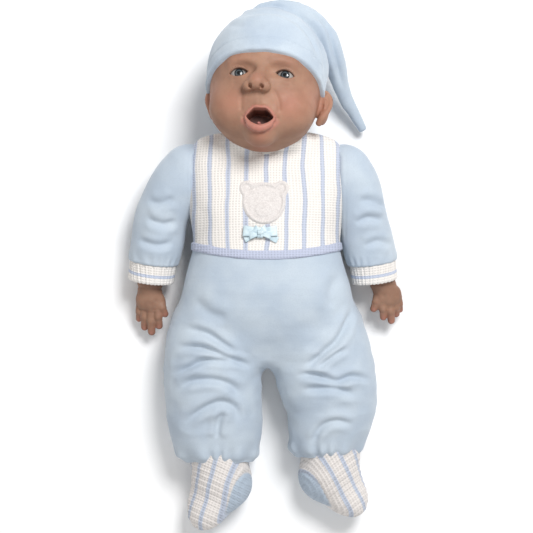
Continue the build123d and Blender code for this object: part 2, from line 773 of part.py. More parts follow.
def toward(start, end):
    """Plane at start whose Z looks at end."""
    start, end = Vector(*start), Vector(*end)
    return Plane(origin=start, x_dir=(0, 0, 1), z_dir=end - start)


for side_name, side in doll_sides.items():
    sections = arm_sections[side_name]
    for garment, stretch in (("sleeve", sections[:-1]), ("cuff", sections[-2:])):
        with BuildPart() as tube:
            add(arm_body(side, stretch, 0))
            add(arm_body(side, stretch, fabric, past_ends=3), mode=Mode.SUBTRACT)
        write(f"{side_name}_{garment}", tube)

    start = Vector(side * forearm_start[side_name][0], *forearm_start[side_name][1:])
    wrist = Vector(side * forearm_ends[side_name][0], *forearm_ends[side_name][1:])
    twist_plane = toward(start, wrist)
    with BuildPart() as upper_arm:
        add(arm_body(side, sections, fabric + cloth_gap))
        split(bisect_by=Plane.YZ.offset(side * (shoulder_x + 0.6)),
              keep=Keep.TOP if side > 0 else Keep.BOTTOM)
        split(bisect_by=twist_plane.offset(-0.6), keep=Keep.BOTTOM)
        # seats of the shoulder disc, the shoulder pin and the forearm's plug
        with Locations(along_x(side * 76.1, shoulder_y, shoulder_z)):
            Cylinder(shoulder_disc_radius + 0.3, 3.6, mode=Mode.SUBTRACT)
        with Locations(along_x(side * 76, shoulder_y, shoulder_z)):
            Cylinder(shoulder_pin_radius + 0.5, 14, mode=Mode.SUBTRACT)
        with Locations(along_x(side * 82.5, shoulder_y, shoulder_z)):
            Cylinder(9.5, 4, mode=Mode.SUBTRACT)
        with Locations(twist_plane.location):
            Cylinder(8.5, 18, mode=Mode.SUBTRACT)
        with Locations(twist_plane.location * Location((0, 0, -8))):
            Cylinder(12.5, 3.6, mode=Mode.SUBTRACT)
    write(f"{side_name}_upper_arm", upper_arm)

    with BuildPart() as shoulder_disc:
        with Locations(along_x(side * 76.1, shoulder_y, shoulder_z)):
            Cylinder(shoulder_disc_radius, 3)
            Cylinder(shoulder_pin_radius + fit, 5, mode=Mode.SUBTRACT)
    write(f"{side_name}_shoulder_disc", shoulder_disc)

    with BuildPart() as forearm:
        with BuildSketch(twist_plane):
            Circle(15)
        with BuildSketch(twist_plane.offset((wrist - start).length)):
            Circle(12.6)
        loft()
        with Locations(twist_plane.location * Location((0, 0, -4))):
            Cylinder(8, 8)
        with Locations(twist_plane.location * Location((0, 0, -8))):
            Cylinder(12, 2.6)
        palm_x, palm_y, palm_z = palm_centres[side_name]
        for spread in (-4, 4):
            add(capsule(tuple(wrist), (palm_x * side + spread, palm_y, palm_z), 12, 9.5))
        for root, tip, radius in fingers[side_name]:
            near = (side * root[0], *root[1:])
            far = (side * tip[0], *tip[1:])
            add(capsule(near, far, radius * 1.12, radius))
    write(f"{side_name}_forearm", forearm)

# ---------------------------------------------------------------- legs
# y, then centre x, half width, centre z and half height of each cross-section
leg_sections = {
    "left": [
        (-72, 52, 42.4, 38, 37.5), (-110, 60, 42, 37, 36), (-150, 63, 38, 33, 32),
        (-188, 65, 30, 28, 26),
    ],
    "right": [
        (-72, 52, 42.4, 38, 37.5), (-110, 53, 42, 37, 36), (-150, 50, 37, 33, 32),
        (-188, 47, 29, 28, 26),
    ],
}
foot_centres = {"left": (75, -208, 22.5), "right": (54, -212, 22.5)}
foot_headings = {"left": (0.36, -0.88, 0.3), "right": (0.3, -0.91, 0.3)}
hip_inner = crotch_half + 0.6


def leg_form(side, sections, shrink, past_ankle=0):
    """Thigh and shin as one closed form, with a round barrel at the hip."""
    sections = list(sections)
    if past_ankle:
        sections.append((sections[-1][0] - past_ankle, *sections[-1][1:]))
    with BuildPart() as form:
        barrel_start, barrel_end = hip_inner + shrink, hip_outer - shrink
        with Locations(along_x(side * (barrel_start + barrel_end) / 2, hip_y, hip_z)):
            Cylinder(hip_barrel - shrink, barrel_end - barrel_start)
        for y, x, half_width, z, half_height in sections:
            with BuildSketch(across_body(y, z)):
                with Locations((side * x, 0)):
                    Ellipse(half_width - shrink, half_height - shrink)
        loft(ruled=True)
        with Locations((side * (hip_inner + shrink - 50), hip_y - 60, hip_z)):
            Box(100, 260, 200, mode=Mode.SUBTRACT)
    return form.part


def foot_frame(side, side_name):
    """Plane in the middle of a foot whose Z points to the toes and X to its top."""
    x, y, z = foot_centres[side_name]
    across, along, up = foot_headings[side_name]
    return Plane(origin=(side * x, y, z), x_dir=(0, 0, 1), z_dir=(side * across, along, up))


for side_name, side in doll_sides.items():
    sections = leg_sections[side_name]
    trouser_outer = leg_form(side, sections, 0)
    limb = leg_form(side, sections, fabric + cloth_gap)
    foot_plane = foot_frame(side, side_name)

    with BuildPart() as trouser:
        add(trouser_outer)
        add(leg_form(side, sections, fabric, 3), mode=Mode.SUBTRACT)
        add(spindle(foot_plane, foot_radius + 0.8, foot_reach + 0.8), mode=Mode.SUBTRACT)
        with Locations(along_x(side * hip_inner, hip_y, hip_z)):
            Cylinder(hip_pin_radius + 0.5, 10, mode=Mode.SUBTRACT)
    write(f"{side_name}_trouser", trouser)

    with BuildPart() as thigh:
        add(limb)
        split(bisect_by=Plane.XZ.offset(-knee_y), keep=Keep.BOTTOM)
        # seats of the hip disc and the hip pin
        with Locations(along_x(side * 13.6, hip_y, hip_z)):
            Cylinder(hip_disc_radius + 0.3, 4, mode=Mode.SUBTRACT)
        with Locations(along_x(side * 16, hip_y, hip_z)):
            Cylinder(hip_pin_radius + 0.5, 16, mode=Mode.SUBTRACT)
        with Locations(along_x(side * 21.7, hip_y, hip_z)):
            Cylinder(9.5, 4.4, mode=Mode.SUBTRACT)
    write(f"{side_name}_thigh", thigh)

    with BuildPart() as hip_disc:
        with Locations(along_x(side * 13.6, hip_y, hip_z)):
            Cylinder(hip_disc_radius, 3)
            Cylinder(hip_pin_radius + fit, 5, mode=Mode.SUBTRACT)
    write(f"{side_name}_hip_disc", hip_disc)

    with BuildPart() as vinyl_leg:
        add(limb)
        split(bisect_by=Plane.XZ.offset(-knee_y + 0.3), keep=Keep.TOP)
        with BuildPart(mode=Mode.PRIVATE) as leg_hollow:
            add(leg_form(side, sections, fabric + cloth_gap + vinyl))
            split(bisect_by=Plane.XZ.offset(-knee_y + 3), keep=Keep.TOP)
            add(spindle(foot_plane, foot_radius - vinyl, foot_reach - vinyl))
        add(spindle(foot_plane, foot_radius, foot_reach))
        add(leg_hollow.part, mode=Mode.SUBTRACT)
    write(f"{side_name}_vinyl_leg", vinyl_leg)

    with BuildPart() as boot:
        add(spindle(foot_plane, foot_radius + 0.7 + fabric, foot_reach + 0.7 + fabric))
        add(spindle(foot_plane, foot_radius + 0.7, foot_reach + 0.7), mode=Mode.SUBTRACT)
        add(leg_form(side, sections, -0.3, 3), mode=Mode.SUBTRACT)
    sole_plane = Plane(
        origin=foot_plane.origin - foot_plane.x_dir * 7,
        x_dir=foot_plane.z_dir, z_dir=foot_plane.x_dir,
    )
    with BuildPart() as bootie:
        add(boot.part)
        split(bisect_by=sole_plane, keep=Keep.TOP)
    write(f"{side_name}_bootie", bootie)
    with BuildPart() as sole:
        add(boot.part)
        split(bisect_by=sole_plane, keep=Keep.BOTTOM)
    write(f"{side_name}_sole", sole)
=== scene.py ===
"""Looks for the baby doll: a soft sleepsuit, a vinyl head and hands, and a knitted bib."""

import json
import math

import bmesh
import bpy
import numpy as np
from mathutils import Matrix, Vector


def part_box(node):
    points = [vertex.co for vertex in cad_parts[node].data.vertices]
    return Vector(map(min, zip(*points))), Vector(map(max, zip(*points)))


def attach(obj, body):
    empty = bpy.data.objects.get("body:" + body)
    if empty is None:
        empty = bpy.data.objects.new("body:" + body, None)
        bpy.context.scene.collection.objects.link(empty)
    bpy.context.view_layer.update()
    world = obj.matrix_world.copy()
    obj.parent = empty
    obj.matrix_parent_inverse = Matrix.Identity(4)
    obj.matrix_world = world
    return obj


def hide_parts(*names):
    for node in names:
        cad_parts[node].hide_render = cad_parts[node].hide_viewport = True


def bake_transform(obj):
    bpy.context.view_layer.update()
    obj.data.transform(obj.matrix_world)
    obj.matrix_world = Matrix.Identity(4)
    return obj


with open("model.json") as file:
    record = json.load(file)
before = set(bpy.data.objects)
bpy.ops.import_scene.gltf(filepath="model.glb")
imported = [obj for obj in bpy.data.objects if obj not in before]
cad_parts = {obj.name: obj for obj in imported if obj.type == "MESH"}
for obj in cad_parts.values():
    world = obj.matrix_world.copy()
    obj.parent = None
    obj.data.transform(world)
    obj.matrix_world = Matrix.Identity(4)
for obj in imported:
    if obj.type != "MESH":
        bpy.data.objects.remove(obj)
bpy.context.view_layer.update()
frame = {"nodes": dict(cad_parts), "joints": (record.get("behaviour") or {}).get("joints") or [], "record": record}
MM = 0.001
SIDES = {"left": 1, "right": -1}  # the doll's own sides and the sign of x there


# ---- vectors and frames ----
def vec(*values):
    return np.array(values, float)


def unit(v):
    return v / np.linalg.norm(v)


def node_box(name):
    low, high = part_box(name)
    return np.array(low) / MM, np.array(high) / MM


def node_middle(name):
    low, high = node_box(name)
    return (low + high) / 2


class Axes:
    """A right-handed set of axes in the row frame, in millimetres."""

    def __init__(self, origin, x, y, z):
        self.origin = origin
        self.rows = np.array([x, y, z])

    def inside(self, p):
        return (p - self.origin) @ self.rows.T

    def outside(self, p):
        return np.asarray(p, float) @ self.rows + self.origin


# ---- distance fields, in millimetres ----
def length(p):
    return np.sqrt((p * p).sum(-1))


def egg(p, centre, half):
    """Distance to an ellipsoid, close to true near its surface."""
    q = p - np.array(centre, float)
    half = np.array(half, float)
    k0 = length(q / half)
    k1 = length(q / (half * half))
    return k0 * (k0 - 1) / np.maximum(k1, 1e-6)


def capsule(p, a, b, ra, rb):
    a, b = np.array(a, float), np.array(b, float)
    ab = b - a
    t = np.clip(((p - a) @ ab) / (ab @ ab), 0, 1)
    return length(p - a - t[..., None] * ab) - (ra + (rb - ra) * t)


def join(a, b, k):
    """Smooth union of two fields."""
    h = np.clip(0.5 + 0.5 * (b - a) / k, 0, 1)
    return b * (1 - h) + a * h - k * h * (1 - h)


def meet(a, b, k):
    """Smooth overlap of two fields."""
    return -join(-a, -b, k)


def carve(a, b, k):
    """Field a with field b smoothly cut away."""
    return -join(-a, b, k)


def bell(value, middle, width):
    """1 at the middle, fading smoothly to 0 over about twice the width on each side."""
    return np.exp(-(((value - middle) / width) ** 2))


def nearest_on(p, points):
    """Distance to a polyline, and how far along it the nearest point is, from 0 to 1."""
    points = np.array(points, float)
    runs = np.linalg.norm(points[1:] - points[:-1], axis=1)
    starts = np.concatenate([[0], np.cumsum(runs)])
    best = np.full(p.shape[:-1], 1e9)
    share = np.zeros(p.shape[:-1])
    for k in range(len(points) - 1):
        a, ab = points[k], points[k + 1] - points[k]
        t = np.clip(((p - a) @ ab) / (ab @ ab), 0, 1)
        d = length(p - a - t[..., None] * ab)
        nearer = d < best
        best = np.where(nearer, d, best)
        share = np.where(nearer, (starts[k] + t * runs[k]) / starts[-1], share)
    return best, share


def stroke(p, points, width, fade=0.18):
    """A soft line along a polyline: 1 on it, fading over width and towards both ends."""
    d, share = nearest_on(p, points)
    ends = np.clip(np.minimum(share, 1 - share) / fade, 0, 1)
    return bell(d, 0, width) * ramp(ends, 0, 1)


def smooth_curve(points, steps=6):
    """Points of a rounded curve through the given ones."""
    p = np.array(points, float)
    padded = np.vstack([2 * p[0] - p[1], p, 2 * p[-1] - p[-2]])
    out = []
    for k in range(1, len(padded) - 2):
        a, b, c, d = padded[k - 1 : k + 3]
        for t in np.linspace(0, 1, steps, endpoint=False):
            out.append(0.5 * (2 * b + (c - a) * t + (2 * a - 5 * b + 4 * c - d) * t**2
                              + (3 * b - a - 3 * c + d) * t**3))
    return np.array(out + [p[-1]])


def past(p, point, way):
    """How far p is beyond a point along a direction."""
    return (p - np.array(point, float)) @ unit(np.array(way, float))


def ramp(value, low, high):
    t = np.clip((value - low) / (high - low), 0, 1)
    return t * t * (3 - 2 * t)


# ---- meshes from fields ----
def field_values(field, points, chunk=400000):
    flat = points.reshape(-1, 3)
    parts = [field(flat[k : k + chunk]) for k in range(0, len(flat), chunk)]
    return np.concatenate(parts).reshape(points.shape[:-1])


def surface_net(field, low, high, step):
    """Vertices and quads of a field's zero surface inside a box."""
    axes = [np.arange(low[k] - 2 * step, high[k] + 2 * step, step) for k in range(3)]
    grid = np.stack(np.meshgrid(*axes, indexing="ij"), -1).astype(np.float32)
    values = field_values(field, grid)
    inside = values < 0
    cells = tuple(n - 1 for n in values.shape)
    total, count = np.zeros(cells + (3,), np.float32), np.zeros(cells, np.float32)
    crossings = []
    for axis in range(3):
        o1, o2 = [k for k in range(3) if k != axis]
        va, vb = (values.take(np.arange(k, cells[axis] + k), axis) for k in (0, 1))
        cross = (va < 0) != (vb < 0)
        t = np.where(cross, va / np.where(cross, va - vb, 1), 0)
        crossings.append(cross)
        for i, j in ((0, 0), (0, 1), (1, 0), (1, 1)):
            edges = [slice(None)] * 3
            edges[o1], edges[o2] = slice(i, cells[o1] + i), slice(j, cells[o2] + j)
            crossed = cross[tuple(edges)]
            offset = np.zeros(cells + (3,), np.float32)
            offset[..., axis], offset[..., o1], offset[..., o2] = t[tuple(edges)], i, j
            total += np.where(crossed[..., None], offset, 0)
            count += crossed
    used = count > 0
    index = np.full(cells, -1)
    index[used] = np.arange(used.sum())
    base = np.stack(np.nonzero(used), -1)
    vertices = (base + total[used] / count[used][:, None]) * step
    vertices += np.array([a[0] for a in axes])
    quads = []
    for axis in range(3):
        o1, o2 = [k for k in range(3) if k != axis]
        e = np.stack(np.nonzero(crossings[axis]), -1)
        keep = (e[:, o1] > 0) & (e[:, o2] > 0) & (e[:, o1] < cells[o1]) & (e[:, o2] < cells[o2])
        e = e[keep]
        corners = []
        for d1, d2 in ((-1, -1), (0, -1), (0, 0), (-1, 0)):
            c = e.copy()
            c[:, o1] += d1
            c[:, o2] += d2
            corners.append(index[tuple(c.T)])
        quad = np.stack(corners, -1)
        flip = inside[tuple(e.T)]
        if axis == 1:
            flip = ~flip
        quad[~flip] = quad[~flip][:, ::-1]
        quads.append(quad)
    return vertices.astype(float), np.concatenate(quads)


def settle(field, points, rounds=2, reach=1.5):
    """Moves points onto a field's zero surface."""
    eps = 0.15
    tetra = np.array([[1, -1, -1], [-1, -1, 1], [-1, 1, -1], [1, 1, 1]], float)
    for _ in range(rounds):
        slope = np.zeros_like(points)
        for way in tetra:
            slope += way * field_values(field, points + way * eps)[:, None]
        slope /= 4 * eps
        value = field_values(field, points)
        step = -value[:, None] * slope / np.maximum((slope * slope).sum(-1), 0.05)[:, None]
        size = np.maximum(length(step), 1e-9)[:, None]
        points = points + step * np.minimum(1, reach / size)
    return points


def make_mesh(name, vertices, faces):
    """Object from vertices in millimetres."""
    mesh = bpy.data.meshes.new(name)
    mesh.from_pydata((np.asarray(vertices) * MM).tolist(), [], [list(f) for f in faces])
    mesh.update()
    obj = bpy.data.objects.new(name, mesh)
    bpy.context.scene.collection.objects.link(obj)
    mesh.shade_smooth()
    return obj


def points_of(obj):
    co = np.zeros(len(obj.data.vertices) * 3)
    obj.data.vertices.foreach_get("co", co)
    return co.reshape(-1, 3) / MM


def put_points(obj, points):
    obj.data.vertices.foreach_set("co", (points * MM).ravel())
    obj.data.update()


def normals_of(obj):
    n = np.zeros(len(obj.data.vertices) * 3)
    obj.data.vertex_normals.foreach_get("vector", n)
    return n.reshape(-1, 3)


def push(obj, amount):
    """Moves an object's points along their normals."""
    put_points(obj, points_of(obj) + normals_of(obj) * np.asarray(amount)[:, None])


def applied(obj):
    """Applies all modifiers of an object."""
    graph = bpy.context.evaluated_depsgraph_get()
    mesh = bpy.data.meshes.new_from_object(obj.evaluated_get(graph))
    obj.modifiers.clear()
    old, obj.data = obj.data, mesh
    bpy.data.meshes.remove(old)
    mesh.shade_smooth()
    return obj


def finer(obj):
    """Subdivides an object once."""
    m = obj.modifiers.new("finer", "SUBSURF")
    m.levels = m.render_levels = 1
    return applied(obj)


def from_field(name, field, low, high, step):
    """Mesh of a closed field, meshed at step and refined onto the field."""
    vertices, quads = surface_net(field, low, high, step)
    obj = finer(make_mesh(name, settle(field, vertices), quads))
    put_points(obj, settle(field, points_of(obj), rounds=1))
    return obj


def paint(obj, name, values):
    """Stores a number at each point, for the materials to read."""
    layer = obj.data.attributes.get(name) or obj.data.attributes.new(name, "FLOAT", "POINT")
    layer.data.foreach_set("value", np.asarray(values, np.float32))


def keep_faces(obj, keep):
    """Deletes the faces whose middle doesn't pass keep."""
    mesh = obj.data
    middles = np.zeros(len(mesh.polygons) * 3)
    mesh.polygons.foreach_get("center", middles)
    wanted = keep(middles.reshape(-1, 3) / MM)
    bm = bmesh.new()
    bm.from_mesh(mesh)
    bm.faces.ensure_lookup_table()
    bmesh.ops.delete(bm, geom=[f for f, w in zip(bm.faces, wanted) if not w], context="FACES")
    bm.to_mesh(mesh)
    bm.free()
    mesh.update()
    return obj


def declare(piece, body, nodes):
    """Hides the CAD nodes a piece stands for and attaches the piece to its body, if it has one."""
    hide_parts(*nodes)
    if body:
        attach(piece, body)


# ---- noise and folds ----
def lattice(cells, seed):
    mixed = (cells * np.array([73856093, 19349663, 83492791]) + seed * 7919).sum(-1)
    mixed = (mixed ^ (mixed >> 13)) * 1274126177 & 0x7FFFFFFF
    return (mixed % 10007) / 5003.5 - 1


def noise(p, size, seed=1):
    """Smooth noise from -1 to 1 with bumps about size millimetres across."""
    q = p / size
    cell = np.floor(q).astype(np.int64)
    f = q - cell
    f = f * f * (3 - 2 * f)
    total = np.zeros(p.shape[0])
    for corner in range(8):
        way = np.array([corner & 1, corner >> 1 & 1, corner >> 2 & 1])
        weight = np.where(way == 1, f, 1 - f).prod(-1)
        total += weight * lattice(cell + way, seed)
    return total


def crease(d, width, depth):
    """Profile of a fold in cloth: a sharp valley with a soft roll on each side."""
    return depth * (0.55 * bell(d, 2.1 * width, 1.3 * width) - bell(d, 0, width))


def fold_lines(p, lines):
    """Push-out of a set of folds, each a list of (x, y) points with its width and depth."""
    flat = np.column_stack([p[:, 0], p[:, 1]])
    total = np.zeros(len(p))
    for points, width, depth in lines:
        curve = smooth_curve(points)
        d, share = nearest_on(flat, curve)
        ends = np.clip(np.minimum(share, 1 - share) / 0.25, 0, 1)
        total += crease(d, width, depth) * ramp(ends, 0, 1)
    return total


# ---- the head's own axes ----
eye_gap = node_middle("left_eye") - node_middle("right_eye")
side_way = unit(eye_gap)
head_turn = next(j for j in frame["joints"] if j["name"] == "head_turn")
front_way = unit(np.cross(side_way, np.array(head_turn["axis"])))
up_way = np.cross(front_way, side_way)
EYE_UP, EYE_FRONT = -11.8, 37.5  # the eyeballs' middles from the head's own middle
eyes_middle = (node_middle("left_eye") + node_middle("right_eye")) / 2
head = Axes(eyes_middle - EYE_UP * up_way - EYE_FRONT * front_way, side_way, up_way, front_way)
EYE_X = np.linalg.norm(eye_gap) / 2
LID_UP, LID_DOWN = 3.9, 3.7  # how far the lids are open above and below the eye's middle
MOUTH_X, MOUTH_UP = 1.0, -53.0  # the open mouth's middle


def mouth_opening(q):
    """Signed size of the open mouth's outline: below zero inside it."""
    x, u = q[..., 0] - MOUTH_X, q[..., 1] - MOUTH_UP
    upper = ((np.abs(x) / 12.2) ** 1.25 + (np.maximum(u, 0) / 10.4) ** 1.25) ** 0.8
    lower = ((np.abs(x) / 12.2) ** 1.45 + (np.maximum(-u, 0) / 8.6) ** 1.45) ** 0.69
    flat_top = (u - 6.9) / 9
    return np.maximum(np.where(u > 0, upper, lower) - 1, flat_top) * 8


def eye_opening(q, side):
    """The same for one eye, an almond whose outer corner is a little lower."""
    x = side * (q[..., 0] - side * EYE_X)
    u = q[..., 1] - EYE_UP + 0.07 * x
    reach = np.clip(1 - (x / 8.6) ** 2, -0.5, 1)
    return np.maximum(u - LID_UP * reach, -u - LID_DOWN * reach) * 0.8


def skull(q):
    return join(egg(q, (0, 8, -2), (54.3, 57, 59.3)), egg(q, (0, -29, 7), (48.8, 42.5, 43)), 16)


def head_field(p):
    q = head.inside(p)
    d = skull(q)
    for s in (-1, 1):
        d = join(d, egg(q, (s * 26, -39, 24), (21, 20, 19)), 12)  # cheeks
        d = join(d, egg(q, (s * 17, -2, 45), (14, 6.5, 8)), 7)  # brows
    d = join(d, egg(q, (1, -52, 33), (17, 18, 14.5)), 9)  # muzzle
    d = join(d, egg(q, (1, -67, 29), (12, 8, 12)), 7)  # chin
    d = join(d, capsule(q, (-0.5, -6, 46), (-3, -18, 55), 5, 6), 9)  # nose
    d = join(d, egg(q, (-3.6, -24.0, 59.5), (7.6, 7.0, 6.8)), 5)
    for s in (-1, 1):
        d = join(d, egg(q, (-3.3 + s * 7.9, -27.0, 55.3), (5.0, 5.2, 5.8)), 3)
        eye = (s * EYE_X, EYE_UP, EYE_FRONT)
        d = carve(d, egg(q, (s * (EYE_X - 7), EYE_UP + 1.5, 56), (8, 5.5, 6)), 6)
        d = carve(d, egg(q, (s * (EYE_X + 4), EYE_UP + 3.5, 55), (10, 4.5, 5)), 5)
        d = join(d, length(q - np.array(eye)) - 11.3, 2.2)
    # lips
    upper = [(-11.8, -53.2, 44), (-7, -47.5, 47.6), (-2.5, -45, 49.4), (1, -45.8, 49.6),
             (4.5, -45, 49.4), (9, -47.5, 47.6), (13.8, -53.2, 44)]
    lower = [(-11, -55, 44), (-7.5, -60.8, 45.6), (-3, -63.6, 46.6), (1, -64.3, 46.8),
             (5, -63.6, 46.6), (9.5, -60.8, 45.6), (13, -55, 44)]
    for points, radius, k in ((upper, 1.9, 3.0), (lower, 4.0, 2.6)):
        r, share = nearest_on(q, points)
        d = join(d, r - radius * (0.55 + 0.45 * np.sin(math.pi * share)), k)
    # ears
    for s in (-1, 1):
        away = np.stack([s * q[..., 0] + (5 if s < 0 else -2.5), q[..., 1], q[..., 2]], -1)
        rim = [(50, -41, 2), (54, -35, 4.5), (58.5, -26, 2.5), (59, -17, -1), (55, -10.5, -1),
               (51, -12, 4)]
        r, share = nearest_on(away, smooth_curve(rim, 3))
        shell = egg(away, (52.5, -26, -2), (6, 15.5, 6.5))
        d = join(d, shell, 3)
        d = join(d, r - (2.5 + 1.2 * bell(share, 0.12, 0.14)), 2)
        inner, _ = nearest_on(away, [(52, -33, 5), (54.5, -25, 4.8), (54.5, -18, 2.5)])
        d = join(d, inner - 1.3, 1.5)
        d = carve(d, egg(away, (51.8, -27, 9), (2.6, 6, 4.6)), 1.5)
    # mouth, nostrils and eye openings
    pocket = np.maximum(mouth_opening(q) * 0.9, 29 - q[..., 2])
    d = carve(d, pocket, 1.3)
    for s in (-1, 1):
        d = carve(d, egg(q, (-3.4 + s * 5.3, -28.8, 61), (1.9, 1.7, 5)), 0.9)
        d = carve(d, np.maximum(eye_opening(q, s), EYE_FRONT - q[..., 2]), 0.6)
    return d


def face_lines(q):
    """Push-out of the creases and rolls that are modelled in the face."""
    out = np.zeros(len(q))
    for s in (-1, 1):
        x = EYE_X * s
        lid_crease = [(x - 8 * s, -10.8, 48), (x - 4 * s, -5.8, 49), (x + 2 * s, -4.8, 49),
                      (x + 9 * s, -8.6, 45)]
        under = [(x - 8 * s, -14, 48), (x - 2 * s, -18.6, 48), (x + 6 * s, -17.6, 46)]
        bag = [(x - 10 * s, -17, 49), (x - 4 * s, -22.5, 48), (x + 6 * s, -22.5, 45)]
        out -= 1.1 * stroke(q, smooth_curve(lid_crease), 1.1)
        out -= 0.8 * stroke(q, smooth_curve(under), 1.2)
        out -= 0.9 * stroke(q, smooth_curve(bag), 1.6)
        brow = [(s * 6, -4, 53), (s * 12, -0.5, 53), (s * 22, 2, 50)]
        frown = [(s * 4.5, 2, 55), (s * 4, -6, 53)]
        out += 1.1 * stroke(q, smooth_curve(brow), 3.2)
        out -= 0.9 * stroke(q, frown, 1.2)
        cheek_line = [(-2 + s * 13, -26, 50), (s * 17, -37, 47), (1 + s * 17.5, -49, 44)]
        out -= 1.3 * stroke(q, smooth_curve(cheek_line), 2.0)
        corner = [(MOUTH_X + s * 12.4, -49, 45), (MOUTH_X + s * 14.5, -54, 43),
                  (MOUTH_X + s * 12.5, -60, 43)]
        out -= 1.5 * stroke(q, smooth_curve(corner), 1.9)
        out -= 1.3 * stroke(q, [(MOUTH_X + s * 11, -53.4, 44), (MOUTH_X + s * 18, -52, 42)], 1.3)
        out += 0.5 * stroke(q, [(-1.6 + s * 2.6, -31, 54), (0.4 + s * 3, -43, 50)], 1.3)
    out -= 0.9 * stroke(q, [(-1.8, -30, 55), (0.4, -43, 51)], 1.7)  # philtrum
    for level, depth in ((4, 0.5), (9, 0.35)):
        out -= depth * stroke(q, [(-16, level, 54), (0, level + 2.5, 57), (16, level, 54)], 1.4)
    out -= 1.0 * stroke(q, [(-6, -9.5, 50), (0, -9, 53), (5, -9.5, 50)], 1.3)  # nose root
    out -= 0.9 * stroke(q, [(-7, -67.3, 44), (1, -68.2, 44), (9, -67.3, 44)], 1.5)  # under lip
    return out


head_low, head_high = node_box("head_shell")
head_piece = from_field("head", head_field, head_low - 3, head_high + vec(3, 3, 14), 1.7)
q = head.inside(points_of(head_piece))
push(head_piece, face_lines(q))

mouth = mouth_opening(q)
lip_reach = 2.6 + 3.4 * ramp(q[:, 1] - MOUTH_UP, 0, -5)
paint(head_piece, "lips", ramp(mouth - lip_reach, 1.2, -1.2) * ramp(q[:, 2], 38, 42))
paint(head_piece, "deep", ramp(q[:, 2], 46.5, 41) * ramp(mouth, 2.2, 0.6) * (q[:, 2] > 20))
rosy = np.zeros(len(q))
for x, u, size, amount in ((27, -40, 13, 1.0), (-26, -40, 12, 0.75), (1, -69, 9, 0.9),
                           (-3, -22, 8, 0.5), (52, -26, 14, 0.7), (-52, -26, 14, 0.7),
                           (22, 1, 11, 0.3), (-22, 1, 11, 0.3)):
    rosy += amount * bell(q[:, 0], x, size) * bell(q[:, 1], u, size)
paint(head_piece, "blush", np.clip(rosy, 0, 1) * ramp(q[:, 2], -20, 5))
lash_line = np.zeros(len(q))
for s in (-1, 1):
    edge = eye_opening(q, s)
    upper = ramp(q[:, 1] - EYE_UP, 0.2, 1.6)
    lash_line += bell(edge, 0.2, 0.5) * (0.35 + 0.65 * upper) * (q[:, 2] > 38)
paint(head_piece, "lash", lash_line)
declare(head_piece, "head", ["head_shell"])


# ---- eyes and lashes ----
def fine_ball(name, centre, radius):
    """A round ball with fine, even faces."""
    bm = bmesh.new()
    bmesh.ops.create_icosphere(bm, subdivisions=6, radius=radius * MM)
    bmesh.ops.translate(bm, verts=bm.verts, vec=Vector(centre * MM))
    mesh = bpy.data.meshes.new(name)
    bm.to_mesh(mesh)
    bm.free()
    obj = bpy.data.objects.new(name, mesh)
    bpy.context.scene.collection.objects.link(obj)
    mesh.shade_smooth()
    return obj


def tube(name, paths, sides=5):
    """Thin tapered tubes, each along a list of (point, radius)."""
    vertices, faces = [], []
    for path in paths:
        start = len(vertices)
        points = np.array([p for p, _ in path], float)
        ways = np.gradient(points, axis=0)
        for (point, radius), way in zip(path, ways):
            way = unit(way)
            side = unit(np.cross(way, vec(0.31, 0.22, 0.92)))
            over = np.cross(way, side)
            for k in range(sides):
                turn = 2 * math.pi * k / sides
                vertices.append(np.array(point) + radius * (math.cos(turn) * side
                                                            + math.sin(turn) * over))
        for ring in range(len(path) - 1):
            for k in range(sides):
                a = start + ring * sides + k
                b = start + ring * sides + (k + 1) % sides
                faces.append((a, b, b + sides, a + sides))
        faces.append(tuple(start + k for k in reversed(range(sides))))
        faces.append(tuple(start + (len(path) - 1) * sides + k for k in range(sides)))
    return make_mesh(name, vertices, faces)


eyes, lashes = {}, {}
for side, s in SIDES.items():
    centre = node_middle(side + "_eye")
    eye = fine_ball(side + "_eye_look", centre, 10)
    local = head.inside(points_of(eye)) - vec(s * EYE_X, EYE_UP, EYE_FRONT)
    gaze = unit(vec(-0.03 * s, -0.03, 1))
    off = np.degrees(np.arccos(np.clip(local @ gaze / length(local), -1, 1)))
    paint(eye, "off_centre", off)
    paint(eye, "spoke", np.arctan2(local[:, 1], local[:, 0]))
    push(eye, 0.55 * ramp(off, 27, 18))
    declare(eye, "head", [side + "_eye"])
    eyes[side] = eye
    paths = []
    for k, x in enumerate(np.linspace(-7.2, 7.6, 21)):
        lift = LID_UP * (1 - (x / 8.6) ** 2) - 0.07 * x
        root = vec(s * (EYE_X + x), EYE_UP + lift + 0.15,
                   EYE_FRONT + math.sqrt(max(11.2**2 - x * x - lift * lift, 1)) - 0.3)
        reach = 3.3 * (0.75 + 0.25 * math.cos(2.4 * k)) * (1 - 0.35 * (x / 8) ** 2)
        way = unit(vec(s * x * 0.09, 0.35, 0.75))
        bend = vec(0, 0.55, 0.1)
        paths.append([(head.outside(root + way * reach * t + bend * reach * t * t * 0.5),
                       0.16 * (1 - 0.85 * t)) for t in (0, 0.3, 0.6, 1)])
    lashes[side] = tube(side + "_lashes", paths)
    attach(lashes[side], "head")


# ---- knitted cap ----
CAP_TAIL = smooth_curve([  # x, y, z and radius, from over the crown to the tip
    (-26, 229, 58, 4), (-11, 240, 63, 6), (13, 244, 63, 8.5), (34, 238, 58, 11),
    (50, 223, 52, 12.5), (62, 203, 44, 11), (70, 181, 32, 8.5), (77, 163, 22, 6.6),
    (87, 146, 15, 5), (94, 134, 11, 3.8),
], 3)
TAIL_FLATNESS = vec(1, 1, 1.12)


def above_rim(q):
    """How far above the cap's rim a point is; the rim falls from the forehead to the nape."""
    slope = (q[..., 1] + 15.9 - 0.437 * q[..., 2]) * 0.916
    return slope + 3.2 * bell(q[..., 0], 0, 36) * ramp(q[..., 2], 0, 40)


